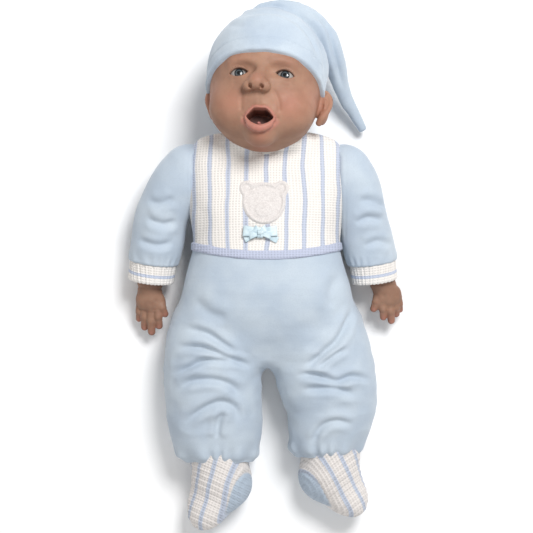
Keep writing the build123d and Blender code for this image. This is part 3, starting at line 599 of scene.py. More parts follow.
def cap_field(p):
    q = head.inside(p)
    below = -above_rim(q) - 1.6 * ramp(np.abs(q[..., 0]), 40, 58)
    rolled = skull(q) - 2.9 - bell(below, -1.2, 2.4)
    tail = np.min([capsule(p * TAIL_FLATNESS, a[:3] * TAIL_FLATNESS, b[:3] * TAIL_FLATNESS,
                           a[3], b[3]) for a, b in zip(CAP_TAIL, CAP_TAIL[1:])], axis=0)
    tail = meet(tail, past(p, CAP_TAIL[-1][:3], (0.5, -0.86, -0.1)) - 1.5, 2)
    return join(meet(rolled, below, 1.6), tail, 1.8)


cap_low = np.minimum(node_box("cap")[0], node_box("cap_tail")[0])
cap_high = np.maximum(node_box("cap")[1], node_box("cap_tail")[1])
cap = from_field("knit_cap", cap_field, cap_low - 6, cap_high + 8, 2.4)
p = points_of(cap)
q = head.inside(p)
hem = -0.75 * bell(above_rim(q), 12.5, 0.9) + 0.35 * bell(above_rim(q), 6, 4)
top_folds = [  # points in x and y, width, depth
    ([(-34, 232), (-12, 236), (8, 236), (24, 230), (38, 216), (48, 196), (55, 180)], 2.2, 1.6),
    ([(34, 244), (48, 236), (58, 226), (66, 200), (73, 176), (84, 152)], 2.4, 2.6),
    ([(-30, 241), (-14, 245), (6, 246), (22, 243)], 1.6, 1.6),
    ([(46, 214), (52, 200), (55, 184), (56, 168)], 1.8, 1.8),
    ([(-40, 226), (-20, 222), (0, 222)], 3.0, 0.7),
]
push(cap, hem * ramp(skull(q), 8, 4.5) + fold_lines(p, top_folds) * ramp(p[:, 2], 30, 48)
     + 0.5 * noise(p, 13, 3) + 0.22 * noise(p, 5, 4))
declare(cap, "head", ["cap", "cap_tail"])


# ---- the suit's forms ----
TORSO = smooth_curve([
    # y, half width, low, top
    (-98, 12, 6, 60), (-88, 26, 3, 66), (-75, 50, 1, 74), (-60, 72, 0, 82), (-45, 84, 0, 88),
    (-20, 80, 0, 92), (6, 73, 0, 90.5), (25, 69.5, 0, 88.5), (55, 73, 0, 84.5), (88, 75.5, 0, 79),
    (104, 74, 1, 75.5), (114, 70, 5, 72), (122, 62, 10, 68), (130, 46, 18, 60),
], 8)


def torso_at(y):
    return [np.interp(y, TORSO[:, 0], TORSO[:, k]) for k in (1, 2, 3)]


def torso_field(p):
    x, y, z = p[..., 0], p[..., 1], p[..., 2]
    wide, low, top = torso_at(y)
    middle = low + (top - low) * 0.4
    up = z > middle
    tall = np.where(up, top - middle, middle - low)
    e = np.where(up, 2.45 + ramp(y, 30, 80), 3.4)
    r = ((np.abs(x) / wide) ** e + (np.abs(z - middle) / tall) ** e) ** (1 / e)
    d = (r - 1) * np.minimum(wide, tall) * 0.9
    ends = np.maximum(y - 127, -96 - y)
    return meet(d, ends, 9)


COLLAR = np.array([(30 * math.cos(t), 113 - 6.5 * math.sin(t), 60 - 24 * math.sin(t))
                   for t in np.linspace(0, 2 * math.pi, 25)])


def bodice_field(p):
    """The torso with its soft collar."""
    ring, _ = nearest_on(p, COLLAR)
    return join(torso_field(p), ring - 8, 9)


ARMS = {
    "left": [(73.5, 89, 41, 28), (82, 76, 41, 25.5), (88.5, 58, 39, 23.7), (92, 44, 35, 23.7),
             (97, 25, 30, 23.8), (102.5, 5, 26.5, 23.2), (104.5, -10, 24, 22.5)],
    "right": [(-73.5, 89, 41, 28), (-86, 76, 41, 25.5), (-97, 58, 38, 23.7),
              (-102.5, 44, 34, 24.3), (-105, 25, 30, 24), (-109.5, 5, 26.5, 23.2),
              (-111.5, -10, 24, 22.5)],
}
LEGS = {  # y, x, half width, z, half height
    "left": [(-72, 50, 47, 38, 38), (-110, 58, 46, 37, 36.5), (-132, 63, 41, 35, 34),
             (-150, 61, 38, 33, 31.5), (-172, 57, 33, 30, 28), (-198, 57, 29, 28, 24)],
    "right": [(-72, -50, 46, 38, 38), (-110, -52, 45.5, 37, 36.5), (-150, -49.5, 44, 33, 32),
              (-172, -47.5, 38, 30, 28.5), (-190, -45.5, 33, 28, 26), (-204, -44, 29, 27, 24)],
}
HEM_Y = {"left": -186, "right": -191}  # where the trouser legs end
FEET = {  # middle of each foot and the way its toes point
    "left": (vec(68, -209, 24), unit(vec(0.6, -0.78, 0.16))),
    "right": (vec(-50, -219, 24), unit(vec(-0.42, -0.9, 0.14))),
}


def chain(p, spots, k):
    """Smoothly joined capsules through spots of x, y, z and radius."""
    d = None
    for a, b in zip(spots, spots[1:]):
        part = capsule(p, a[:3], b[:3], a[3], b[3])
        d = part if d is None else join(d, part, k)
    return d


def sleeve_end(side):
    a, b = vec(*ARMS[side][-2][:3]), vec(*ARMS[side][-1][:3])
    return a, b, unit(b - a)


def sleeve_field(p, side):
    line = smooth_curve(ARMS[side], 3)
    d = chain(p, line, 3)
    a, b, way = sleeve_end(side)
    d = meet(d, past(p, a, way) - 1, 2.5)
    inner = 69.5 - 0.8 * np.maximum(p[..., 1] - 104, 0) - 8 * ramp(p[..., 2], 45, 20)
    return meet(d, inner - np.abs(p[..., 0]), 6)


def cuff_field(p, side):
    a, b, way = sleeve_end(side)
    d = capsule(p, a - way * 8, b + way * 20, 22.6, 22.0)
    slab = np.maximum(past(p, b, way) - 4, -past(p, a, way) - 1.5)
    d = meet(d, slab, 2.2)
    # the open end
    hole = np.maximum(capsule(p, b, b + way * 20, 18.8, 19.4), -past(p, b, way) - 1)
    return carve(d, hole, 1.6)


def trouser_field(p, side):
    s = SIDES[side]
    d = capsule(p, (s * 41, -72, 38), (s * 54, -72, 38), 37.3, 37.3)
    spots = LEGS[side]
    for lean in (-1, 1):
        line = [(x + lean * (hw - hh), y, z, hh) for y, x, hw, z, hh in spots]
        d = join(d, chain(p, smooth_curve(line, 3), 4), 6)
    d = meet(d, HEM_Y[side] - p[..., 1], 4)
    return meet(d, 2.4 - s * p[..., 0], 3)


def lower_field(p):
    """The suit's body and both trouser legs as one cloth."""
    return join(torso_field(p), np.minimum(trouser_field(p, "left"), trouser_field(p, "right")), 11)


GROIN = {s: (vec(s * 50, -66, 0), unit(vec(s * 0.42, -0.9, 0))) for s in (-1, 1)}


def below_groin(p, s):
    """How far p is below the line where a leg meets the body, on the leg's own side."""
    point, way = GROIN[s]
    return np.where(s * p[..., 0] > 0, (p - point) @ way, -99)


def foot_axes(side):
    """Across towards the doll's right, up out of the instep, and along towards the toes."""
    centre, toe = FEET[side]
    lean = vec(0.5 if side == "left" else -0.5, 0, 1)
    across = unit(np.cross(toe, lean))
    return Axes(centre, across, np.cross(across, toe), toe)


def bootie_field(p, side):
    q = foot_axes(side).inside(p)
    d = egg(q, (0, 1, 4), (22, 20, 35))
    s = SIDES[side]
    d = join(d, egg(q, (s * 4, -3, -12), (26.5, 22, 25)), 9)
    top = vec(s * (63 if s > 0 else 46), HEM_Y[side] + 14, 30)
    d = join(d, capsule(p, top, top - vec(s * 1, 22, 2), 29, 27), 10)
    d = meet(d, -q[..., 1] - 18, 4)
    return meet(d, 1 - p[..., 2], 3)


def wrinkles(p, stretch, size, seed):
    """Soft ridges of loose cloth, longer along the wide axes of stretch."""
    n = noise(p * np.array(stretch, float), size, seed)
    m = noise(p * np.array(stretch, float), size * 0.55, seed + 1)
    return (1 - 1.6 * np.abs(n)) * 0.7 + 0.35 * m


FOLDS = [  # points in x and y, width, depth
    ([(-86, -77), (-62, -76), (-37, -85), (-12.5, -96)], 2.6, 2.0),
    ([(-78, -59), (-57, -62.5), (-40, -74), (-25.6, -85.4)], 3.0, 1.5),
    ([(-89, -102), (-73, -95), (-57, -88), (-37, -90), (-27, -95)], 2.6, 1.9),
    ([(-86, -118), (-70, -108), (-48.5, -107), (-32, -113), (-27, -125)], 3.2, 1.7),
    ([(-78, -149), (-65, -138), (-45, -128), (-30.5, -133), (-25.6, -149)], 3.4, 1.8),
    ([(-47, -164), (-45, -146), (-39, -136)], 2.8, 1.4),
    ([(33, -98.5), (53, -82), (69, -66), (84, -36)], 3.2, 2.2),
    ([(45, -98.5), (63, -84), (77.5, -76)], 2.4, 1.6),
    ([(25, -102), (45, -102), (66, -108), (82, -103.5), (102, -110)], 2.8, 1.9),
    ([(30, -118), (45, -115), (66, -115), (86, -123)], 3.0, 1.6),
    ([(42, -170), (52, -152), (66, -146), (84, -150)], 3.0, 1.5),
    ([(-70, -30), (-52, -44), (-34, -50)], 5.0, 1.0),
    ([(70, -6), (60, -24), (62, -42)], 5.0, 1.0),
    ([(84, 40), (96, 46), (112, 44)], 3.0, 1.3),
    ([(86, 62), (100, 62), (118, 56)], 3.4, 1.2),
    ([(92, 18), (106, 24), (122, 20)], 3.0, 1.1),
    ([(-84, 44), (-98, 40), (-116, 46)], 3.2, 1.3),
    ([(-88, 24), (-104, 20), (-124, 26)], 3.0, 1.2),
    ([(-86, 66), (-100, 60), (-114, 62)], 3.4, 1.1),
    ([(-66, 22), (-58, 40), (-60, 60)], 4.5, 0.8),
]


def front_folds(obj):
    """Folds pressed into the parts of a piece that face upwards."""
    p, n = points_of(obj), normals_of(obj)
    return fold_lines(p, FOLDS) * ramp(n[:, 2], 0.05, 0.6)


# ---- suit body ----
def cloth_relief(obj):
    """The folds and unevenness that all of the suit's blue cloth shares."""
    p, n = points_of(obj), normals_of(obj)
    lower = ramp(p[:, 1], -30, -80)
    loose = 0.5 * noise(p, 26, 11) + (0.45 + 0.75 * lower) * wrinkles(p, (0.75, 1.2, 1), 18, 12)
    return 1.8 * fold_lines(p, FOLDS) * ramp(n[:, 2], 0.05, 0.6) + loose * ramp(p[:, 2], 2, 14)


def whole_suit(p):
    ring, _ = nearest_on(p, COLLAR)
    return join(lower_field(p), ring - 8, 9)


suit = from_field("suit_body_look", whole_suit, vec(-92, -118, -3), vec(92, 136, 98), 3.0)
keep_faces(suit, lambda m: (below_groin(m, 1) < 7) & (below_groin(m, -1) < 7))
p = points_of(suit)
under = ramp(p[:, 1], 14, 19) * ramp(p[:, 2], 40, 46)
tuck = np.maximum(ramp(below_groin(p, 1), 0.5, 6), ramp(below_groin(p, -1), 0.5, 6))
push(suit, cloth_relief(suit) * (1 - under) - 0.9 * under - 1.2 * tuck)
declare(suit, "torso", ["suit_body", "cloth_torso", "pellet_bag"])

# ---- bib, band and collar ----
def band_line(p):
    """The level of the band's middle, which hangs a little lower at the front."""
    return 10.8 + 8.5 * (p[..., 0] / 70) ** 2


STRIPES = vec(-68, -52.5, -36, -19, 0.4, 18.2, 34.7, 52.2, 66.7)
bib = from_field("bib", lambda p: bodice_field(p) - 0.4, vec(-92, 2, 30), vec(92, 136, 98), 3.0)
keep_faces(bib, lambda m: (m[:, 1] > band_line(m)) & (m[:, 2] > 41) & (m[:, 1] < 131))
p = points_of(bib)
edge = np.minimum(ramp(p[:, 1] - band_line(p), 0, 3), ramp(p[:, 2], 41, 46))
push(bib, 0.9 * edge + 0.4 * noise(p, 20, 21) + 0.5 * wrinkles(p, (1, 0.5, 1), 18, 22) * edge
     + 0.8 * front_folds(bib))
waver = 1.3 * noise(p, 30, 23) + 0.9 * noise(p, 14, 24)
paint(bib, "stripe", np.interp(p[:, 0] + waver, np.concatenate([[-84], STRIPES, [82]]),
                               np.arange(-1, 10)))
paint(bib, "knit_u", p[:, 0] + waver)
paint(bib, "knit_v", p[:, 1] + 0.6 * np.abs(p[:, 0]) ** 1.1 / 40)
declare(bib, "torso", ["bib_panel"])


def band_field(p):
    wide = np.abs(p[..., 1] - band_line(p)) - 4.4
    return meet(meet(bodice_field(p) - 2.0, wide, 2.4), 40 - p[..., 2], 2)


band = from_field("bib_band", band_field, vec(-92, 2, 36), vec(92, 32, 99), 2.2)
p = points_of(band)
push(band, 0.25 * noise(p, 9, 31) + 0.5 * front_folds(band))
paint(band, "knit_u", p[:, 0])
paint(band, "knit_v", p[:, 1])
declare(band, "torso", ["bib_trim"])

# ---- sleeves, cuffs and hands ----
FINGERS = {  # root, tip, radius; the last one is the thumb's side on the left hand
    "left": [((109, -27, 22), (104, -41, 23), 3.9), ((113, -33, 23), (113.5, -49, 22), 3.9),
             ((119, -34, 22), (121.5, -52.5, 19), 4.1), ((125, -33, 21), (126.5, -46, 16), 4.0),
             ((128, -30, 19), (130.3, -42, 14), 3.5)],
    "right": [((-104, -34, 22), (-98.5, -46, 23), 3.9), ((-106, -39, 23), (-104.5, -57.5, 20), 4.1),
              ((-112, -41, 22), (-112, -63.5, 17), 4.3), ((-118, -39, 20), (-119, -59, 14), 4.1),
              ((-123, -36, 18), (-124.5, -51, 13), 3.6)],
}
PALMS = {"left": vec(118, -29, 21.5), "right": vec(-113.4, -33, 21)}
WRISTS = {"left": ((105, 20, 27), (112, -14, 23)), "right": ((-108, 20, 27), (-113, -16, 23))}


def hand_field(p, side):
    start, wrist = WRISTS[side]
    palm = PALMS[side]
    s = SIDES[side]
    d = capsule(p, start, wrist, 15.5, 12.4)
    way = unit(palm - vec(*wrist))
    over = unit(np.cross(way, vec(0, 0, 1)))
    palm_axes = Axes(palm, over, way, np.cross(over, way))
    q = palm_axes.inside(p)
    d = join(d, egg(q, (0, -1, 0), (13.6, 13, 9.6)), 6)
    for a, b, radius in FINGERS[side]:
        a, b = vec(*a), vec(*b)
        mid = (a + b) / 2 + vec(0, 0, 1.8)
        tip = b - vec(0, 0, 1.2)
        finger = chain(p, [(*a, radius * 1.12), (*mid, radius), (*tip, radius * 0.86)], 1.2)
        d = join(d, finger, 1.5)
    root = palm + over * 9 * s + way * 2
    return join(d, egg(p, root, (6, 7, 6)), 4)


def hand_lines(p, side):
    out = np.zeros(len(p))
    for a, b, radius in FINGERS[side]:
        a, b = vec(*a), vec(*b)
        d, share = nearest_on(p, [a, b])
        near = ramp(d, radius + 3.5, radius)
        for place, depth in ((0.12, 0.35), (0.48, 0.3), (0.74, 0.2)):
            out -= depth * near * bell(share, place, 0.035)
    palm = PALMS[side]
    for a, b, _ in FINGERS[side][1:4]:
        dimple = np.array(a, float) + vec(0, 5, 7)
        out -= 0.7 * bell(length(p - dimple), 0, 2.4)
    ring = palm + vec(-4 if side == "left" else 1, 12.5, 1)
    out -= 0.7 * bell((p - ring) @ vec(0.1, 0.99, 0.1), 0, 1.4)
    return out


sleeves, cuffs, hands = {}, {}, {}
for side, s in SIDES.items():
    low, high = node_box(side + "_sleeve")
    sleeve = from_field(side + "_sleeve_look", lambda p: sleeve_field(p, side),
                        low - vec(14, 12, 6), high + vec(14, 12, 6), 3.0)
    p = points_of(sleeve)
    a, b, way = sleeve_end(side)
    to_cuff = -past(p, a, way)
    amount = cloth_relief(sleeve) * ramp(to_cuff, 1, 10)
    # gathers where the cuff draws the sleeve in
    turn = np.arctan2(p[:, 2] - a[2], s * (p[:, 0] - a[0]))
    gathers = np.sin(turn * 17 + 2.2 * np.sin(turn * 3)) * bell(to_cuff, 4, 5)
    # a stitched seam just outside where the sleeve meets the body
    seam = s * p[:, 0] - 75 + 0.8 * np.maximum(p[:, 1] - 104, 0)
    amount += 0.5 * gathers - 0.6 * bell(seam, 0, 0.9) * ramp(p[:, 2], 40, 50)
    push(sleeve, amount * ramp(p[:, 2], 0.5, 10))
    declare(sleeve, side + "_arm", [side + "_sleeve", side + "_upper_arm"])
    sleeves[side] = sleeve

    low, high = node_box(side + "_cuff")
    cuff = from_field(side + "_cuff_look", lambda p: cuff_field(p, side),
                      low - 8, high + 8, 2.0)
    p = points_of(cuff)
    along = past(p, a, way)
    turn = np.arctan2(p[:, 2] - a[2], s * (p[:, 0] - a[0]))
    push(cuff, 0.35 * np.sin(turn * 30) * ramp(along, -1, 3) + 0.4 * noise(p, 14, 43))
    paint(cuff, "knit_u", turn * 22)
    paint(cuff, "knit_v", along)
    declare(cuff, side + "_arm", [side + "_cuff"])
    cuffs[side] = cuff

    low, high = node_box(side + "_forearm")
    hand = from_field(side + "_hand_look", lambda p: hand_field(p, side),
                      low - 6, high + 6, 1.3)
    p = points_of(hand)
    push(hand, hand_lines(p, side))
    nails, tips = np.zeros(len(p)), np.zeros(len(p))
    for root, tip, radius in FINGERS[side]:
        spot = vec(*tip) + vec(0, -0.5, radius * 0.55 - 1)
        nails += np.exp(-(length((p - spot) * vec(1, 0.8, 0.8)) / 2.0) ** 4)
        tips += bell(length(p - vec(*tip)), 0, 6)
    paint(hand, "lips", np.clip(nails, 0, 1) * 0.6)
    paint(hand, "blush", np.clip(tips, 0, 1) * 0.6)
    paint(hand, "deep", np.zeros(len(p)))
    paint(hand, "lash", np.zeros(len(p)))
    declare(hand, side + "_hand", [side + "_forearm"])
    hands[side] = hand


# ---- trousers, booties and soles ----
legs = {}
for side, s in SIDES.items():
    trouser = from_field(side + "_trouser_look", lower_field,
                         vec(min(s * -3, s * 112), -215, -3), vec(max(s * -3, s * 112), -28, 98), 3.0)
    _, x, _, z, _ = LEGS[side][-1]
    keep_faces(trouser, lambda m: (below_groin(m, s) > 0) & (s * m[:, 0] > 0))
    p = points_of(trouser)
    to_ankle = p[:, 1] - HEM_Y[side] - 3
    turn = np.arctan2(p[:, 2] - z, p[:, 0] - x)
    gathers = np.sin(turn * 15 + 2 * np.sin(turn * 4)) * bell(to_ankle, 6, 9)
    drawn_in = 3.5 * bell(np.maximum(to_ankle, 0), 0, 4)
    push(trouser, cloth_relief(trouser) + 1.5 * gathers * ramp(p[:, 2], 0.5, 10) - drawn_in)
    declare(trouser, None, [side + "_trouser", side + "_thigh"])
    point, way = GROIN[s]
    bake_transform(trouser)

    low, high = node_box(side + "_bootie")
    low = np.minimum(low, node_box(side + "_sole")[0])
    bootie = from_field(side + "_bootie_look", lambda p: bootie_field(p, side),
                        low - vec(18, 10, 6), high + vec(18, 24, 10), 2.4)
    p = points_of(bootie)
    q = foot_axes(side).inside(p)
    ribs = np.sin(q[:, 2] * 2 * math.pi / 5.2) * ramp(q[:, 1], -3, 3)
    push(bootie, 0.3 * ribs * ramp(q[:, 2], -34, -20) + 0.5 * noise(p, 15, 53)
         + 0.5 * wrinkles(p, (1, 1, 1), 13, 54))
    paint(bootie, "stripe", q[:, 0] / 14.5 + 0.3 + 0.05 * noise(p, 18, 55))
    paint(bootie, "knit_u", q[:, 0])
    paint(bootie, "knit_v", q[:, 2])
    blue_side = np.maximum(-9 - q[:, 1], s * q[:, 0] - 22.5 + 0.1 * q[:, 2])
    paint(bootie, "sole", ramp(blue_side, -0.6, 0.6))
    push(bootie, -0.8 * bell(blue_side, 0, 0.9))
    covered = [side + "_bootie", side + "_sole", side + "_vinyl_leg"]
    declare(bootie, side + "_leg", covered)
    legs[side] = (trouser, bootie)


# ---- bear patch, bow and back flap ----
pad_low, pad_high = node_box("bear_patch")
PAD = Axes(vec(-2.3, 60, 83.3), vec(1, 0, 0), vec(0, 0.9866, -0.1633), vec(0, 0.1633, 0.9866))


def bear_outline(q):
    """Signed distance inside the patch's flat outline."""
    flat = q * vec(1, 1, 0)
    narrow = vec(1, 0, 0) * 0.004 * flat[..., :1] * (flat[..., 1:2] - 8)
    d = egg(flat - narrow, (0, -1, 0), (21.6, 20.8, 30))
    for s in (-1, 1):
        d = join(d, length((flat - vec(s * 16.2, 13.4, 0))[..., :2]) - 7.8, 5)
    return d


def bear_field(p):
    q = PAD.inside(p)
    outline = bear_outline(q)
    rim = 1.3 * bell(outline, -2.6, 1.5)
    dome = 1.6 * (1 - np.exp(outline / 7))
    muzzle = 0.8 * ramp(egg(q * vec(1, 1, 0), (0, -7.5, 0), (8.2, 6.4, 30)), 1.2, -1.0)
    top = q[..., 2] - (1.5 + rim + dome + muzzle)
    return meet(meet(outline, top, 1.6), -3.2 - q[..., 2], 1)


bear = from_field("bear_patch_look", bear_field, pad_low - 3, pad_high + vec(3, 3, 6), 1.2)
p = points_of(bear)
q = PAD.inside(p)
marks = np.zeros(len(q))
for s in (-1, 1):
    marks += bell(q[:, 0], s * 7.2, 1.6) * bell(q[:, 1], 2.4, 1.6)
marks += bell(q[:, 0], 0, 2.4) * bell(q[:, 1], -4.6, 1.4)
smile = smooth_curve([(-4.5, -9.5, 0), (-2, -11.2, 0), (0, -9.4, 0), (2, -11.2, 0), (4.5, -9.5, 0)])
marks += 0.8 * stroke(q * vec(1, 1, 0), smile, 0.8)
marks = np.clip(marks, 0, 1) * ramp(q[:, 2], 0, 1)
stitch = bell(bear_outline(q), -5.0, 0.8) * ramp(q[:, 2], 0, 1)
push(bear, 0.25 * marks - 0.45 * stitch + 0.12 * noise(p, 3, 61))
# the marks carry the embroidered face and, at half strength, painted shade in the stitched groove round the
# outline
paint(bear, "marks", np.clip(marks + 0.5 * stitch, 0, 1))
declare(bear, "press_pad", ["bear_patch"])


def ribbon(name, strips):
    """Folded satin strips, each a list of (point, half width vector)."""
    vertices, faces = [], []
    for strip in strips:
        start = len(vertices)
        for point, half in strip:
            for k in range(5):
                share = k / 2 - 1
                vertices.append(point + half * share)
        for row in range(len(strip) - 1):
            for k in range(4):
                a = start + row * 5 + k
                faces.append((a, a + 1, a + 6, a + 5))
    obj = make_mesh(name, vertices, faces)
    thick = obj.modifiers.new("thickness", "SOLIDIFY")
    thick.thickness, thick.offset = 0.5 * MM, 0
    applied(obj)
    return finer(obj)


bow_low, bow_high = node_box("ribbon_bow")
KNOT = vec(-6, 31.5, bow_low[2] + 4.0)
BOW = Axes(KNOT, vec(1, 0, 0), vec(0, 0.995, -0.1), vec(0, 0.1, 0.995))


def leaving_knot(angle, rows):
    """A strip that leaves the knot at an angle, from how far out, how high and how wide it is."""
    turn = math.radians(angle)
    out_way = vec(math.cos(turn), math.sin(turn), 0)
    across = vec(-math.sin(turn), math.cos(turn), 0)
    return [(BOW.outside(out_way * out + vec(0, 0, up)), across * wide @ BOW.rows)
            for out, up, wide in rows]


strips = []
for angle, reach, wide, height in ((174, 16, 5.2, 3.0), (6, 16, 5.2, 3.0), (196, 11, 3.8, 4.4),
                                   (-14, 11, 3.8, 4.4), (35, 7.5, 3.4, 5.0), (145, 7.5, 3.4, 5.0),
                                   (-90, 5, 3.0, 5.0), (90, 5, 3.0, 4.6)):  # loops
    strip = []
    for t in np.linspace(0, 1, 15):
        arch = math.sin(math.pi * t)
        up = 1.4 + height * 0.5 * math.sin(2 * math.pi * t) * (0.6 + 0.4 * arch)
        strip.append((reach * 0.5 * (1 - math.cos(2 * math.pi * t)), up,
                      wide * (0.35 + 0.65 * arch**0.7)))
    strips.append(leaving_knot(angle, strip))
for angle, reach in ((203, 16), (-23, 18)):  # loose ends
    strips.append(leaving_knot(angle, [
        (reach * t, 0.9 - 0.3 * t + 0.6 * math.sin(5 * t), 1.6 + 1.8 * t)
        for t in np.linspace(0, 1, 9)]))
bow = ribbon("satin_bow", strips)
knot = from_field("satin_knot", lambda p: egg(BOW.inside(p), (0, 0, 3.0), (3.4, 3.0, 2.6)),
                  KNOT - vec(5, 5, 2), KNOT + vec(5, 5, 8), 0.9)
p = points_of(knot)
push(knot, 0.25 * np.sin((p[:, 0] - KNOT[0]) * 2.6))
knot.parent = bow
declare(bow, "torso", ["ribbon_bow"])

flap_low, flap_high = node_box("pouch_flap")
flap_middle, flap_half = (flap_low + flap_high) / 2, (flap_high - flap_low) / 2


def flap_field(p):
    q = np.abs(p - flap_middle) - (flap_half - 0.9)
    outside = length(np.maximum(q, 0))
    return outside + np.minimum(q.max(-1), 0) - 0.9


flap = from_field("pouch_flap_look", flap_field, flap_low - 2, flap_high + 2,
                  min(1.6, flap_half.min()))
p = points_of(flap)
inset = (flap_half - np.abs(p - flap_middle))[:, :2].min(-1)
push(flap, -0.3 * bell(inset, 4, 0.8))
declare(flap, "torso", ["pouch_flap"])


# ---- materials ----
def tone(*display):
    """A colour given in display values from 0 to 255, as the shaders take it."""
    shares = [c / 255 for c in display]
    return (*[c / 12.92 if c <= 0.04045 else ((c + 0.055) / 1.055) ** 2.4 for c in shares], 1.0)


def shaded(display, factor):
    return tone(*[c * factor for c in display])


class Look:
    """One material's node tree."""

    def __init__(self, name, roughness, **fixed):
        self.material = bpy.data.materials.new(name)
        self.material.use_nodes = True
        self.tree = self.material.node_tree
        self.shader = self.tree.nodes["Principled BSDF"]
        self.shader.inputs["Roughness"].default_value = roughness
        for key, value in fixed.items():
            self.shader.inputs[key.replace("_", " ")].default_value = value
        self.place = self.tree.nodes.new("ShaderNodeTexCoord").outputs["Object"]

    def put(self, socket, value):
        if isinstance(value, bpy.types.NodeSocket):
            self.tree.links.new(value, socket)
        else:
            socket.default_value = value

    def node(self, kind, inputs, output=0, **settings):
        """A new node's output, with its settings and the values or links of its inputs."""
        n = self.tree.nodes.new("ShaderNode" + kind)
        for key, value in settings.items():
            setattr(n, key, value)
        for key, value in inputs.items():
            self.put(n.inputs[key], value)
        return n.outputs[output]

    def maths(self, operation, a, b=0.0, clamp=False):
        return self.node("Math", {0: a, 1: b}, operation=operation, use_clamp=clamp)

    def times(self, a, b):
        return self.maths("MULTIPLY", a, b)

    def noise(self, size, detail=2.0):
        """Noise with bumps about size millimetres across."""
        return self.node("TexNoise", {"Scale": 1000 / size, "Detail": detail,
                                      "Vector": self.place}, "Fac")

    def cells(self, size):
        return self.node("TexVoronoi", {"Scale": 1000 / size, "Vector": self.place}, "Distance")

    def lines(self, size, axis, waver=1.0):
        """Fine parallel lines, size millimetres apart."""
        return self.node("TexWave", {"Scale": 1000 * 0.314159 / size, "Distortion": waver,
                                     "Detail Scale": 1.5, "Vector": self.place}, "Fac",
                         bands_direction=axis)

    def value(self, name):
        """What paint() stored under this name."""
        return self.node("Attribute", {}, "Fac", attribute_name=name)

    def span(self, value, low, high, a=0.0, b=1.0):
        """Goes smoothly from a to b as the value goes from low to high."""
        return self.node("MapRange", {0: value, 1: low, 2: high, 3: a, 4: b},
                         interpolation_type="SMOOTHSTEP")

    def mix(self, share, a, b):
        return self.node("Mix", {0: share, 6: a, 7: b}, 2, data_type="RGBA")

    def mottled(self, size, detail, deep, pale):
        """Two tones in uneven patches about size millimetres across."""
        return self.mix(self.span(self.noise(size, detail), 0.3, 0.7), tone(*deep), tone(*pale))

    def bump(self, height, strength, depth):
        """Relief of about depth millimetres, on top of any made before."""
        inputs = {"Strength": strength, "Distance": depth * MM, "Height": height}
        normal = self.shader.inputs["Normal"]
        if normal.links:
            inputs["Normal"] = normal.links[0].from_socket
        self.put(normal, self.node("Bump", inputs))

    def colour(self, value):
        self.put(self.shader.inputs["Base Color"], value)

    def roughness(self, value):
        self.put(self.shader.inputs["Roughness"], value)


def jersey(name, pale, deep):
    """Soft cotton jersey: fine ribs of stitches, a little pilling and uneven dye."""
    look = Look(name, 0.92, Sheen_Weight=0.25, Sheen_Roughness=0.5, Specular_IOR_Level=0.2)
    base = look.mottled(38, 3, deep, pale)
    fleck = look.span(look.noise(1.1, 2), 0.35, 0.75, 0.0, 0.16)
    look.colour(look.mix(fleck, base, shaded(deep, 0.86)))
    look.bump(look.times(look.lines(0.95, "X", 2.0), look.lines(1.2, "Y", 2.0)), 0.35, 0.25)
    look.bump(look.noise(2.6, 3), 0.25, 0.35)
    return look.material


def knitted(name, cream, stripe, stripe_share, line=None):
    """Waffle knit: small square cells between raised ridges, with painted shade in the sunken cells, and coloured
    stripes.

    The line is where one more stripe, across the others, starts and ends.
    """
    look = Look(name, 0.95, Sheen_Weight=0.2, Sheen_Roughness=0.5, Specular_IOR_Level=0.15)
    u, v = look.value("knit_u"), look.value("knit_v")
    across, along = (look.maths("ABSOLUTE", look.maths("SINE", look.times(way, math.pi / pitch)))
                     for way, pitch in ((u, 2.9), (v, 2.4)))
    cell = look.times(across, along)
    # painted shade: the sunken middles of the cells are coloured darker than the ridges
    base = look.mix(look.span(cell, 0.25, 0.95), tone(*cream), shaded(cream, 0.93))
    if stripe_share:
        s = look.maths("ADD", look.value("stripe"), 0.5)
        near = look.maths("ABSOLUTE", look.maths("SUBTRACT", look.maths("FRACT", s), 0.5))
        near = look.maths("ADD", near, look.times(look.noise(2.2, 2), 0.05))
        on = look.span(near, stripe_share + 0.05, stripe_share - 0.01)
        # painted shade on the stripe yarn too, darker in the sunken cell middles
        yarn = look.mix(look.span(cell, 0.2, 0.95), tone(*stripe), shaded(stripe, 0.9))
        base = look.mix(on, base, yarn)
    if line:
        for start, colour in zip(line, (stripe, cream)):
            base = look.mix(look.span(v, start, start + 0.5), base, tone(*colour))
    fleck = look.span(look.noise(0.9, 2), 0.4, 0.8, 0.0, 0.14)
    look.colour(look.mix(fleck, base, shaded(cream, 0.8)))
    look.bump(cell, 0.6, -0.8)
    look.bump(look.noise(0.9, 2), 0.35, 0.25)
    return look


def skin(name, shade=1.0):
    """Matt vinyl skin with painted blush, lips and lash line."""
    look = Look(name, 0.48, Subsurface_Weight=0.08, Subsurface_Scale=0.004,
                Specular_IOR_Level=0.32)
    mottle = look.span(look.noise(16, 4), 0.3, 0.7)
    base = look.mix(mottle, shaded((150, 113, 93), shade), shaded((164, 126, 104), shade))
    pores = look.span(look.noise(2.2, 3), 0.45, 0.8, 0.0, 0.12)
    for share, colour in ((look.times(look.value("blush"), 0.45), (174, 106, 88)),
                          (look.times(look.value("lips"), 0.7), (182, 120, 108)),
                          (pores, (140, 98, 80)), (look.value("deep"), (124, 80, 68)),
                          (look.maths("MULTIPLY", look.value("lash"), 0.8, True), (62, 42, 36))):
        base = look.mix(share, base, tone(*colour))
    look.colour(base)
    look.roughness(look.span(look.noise(7, 3), 0.3, 0.75, 0.52, 0.66))
    look.bump(look.cells(1.0), 0.10, 0.15)
    look.bump(look.noise(3.0, 3), 0.12, 0.3)
    return look.material


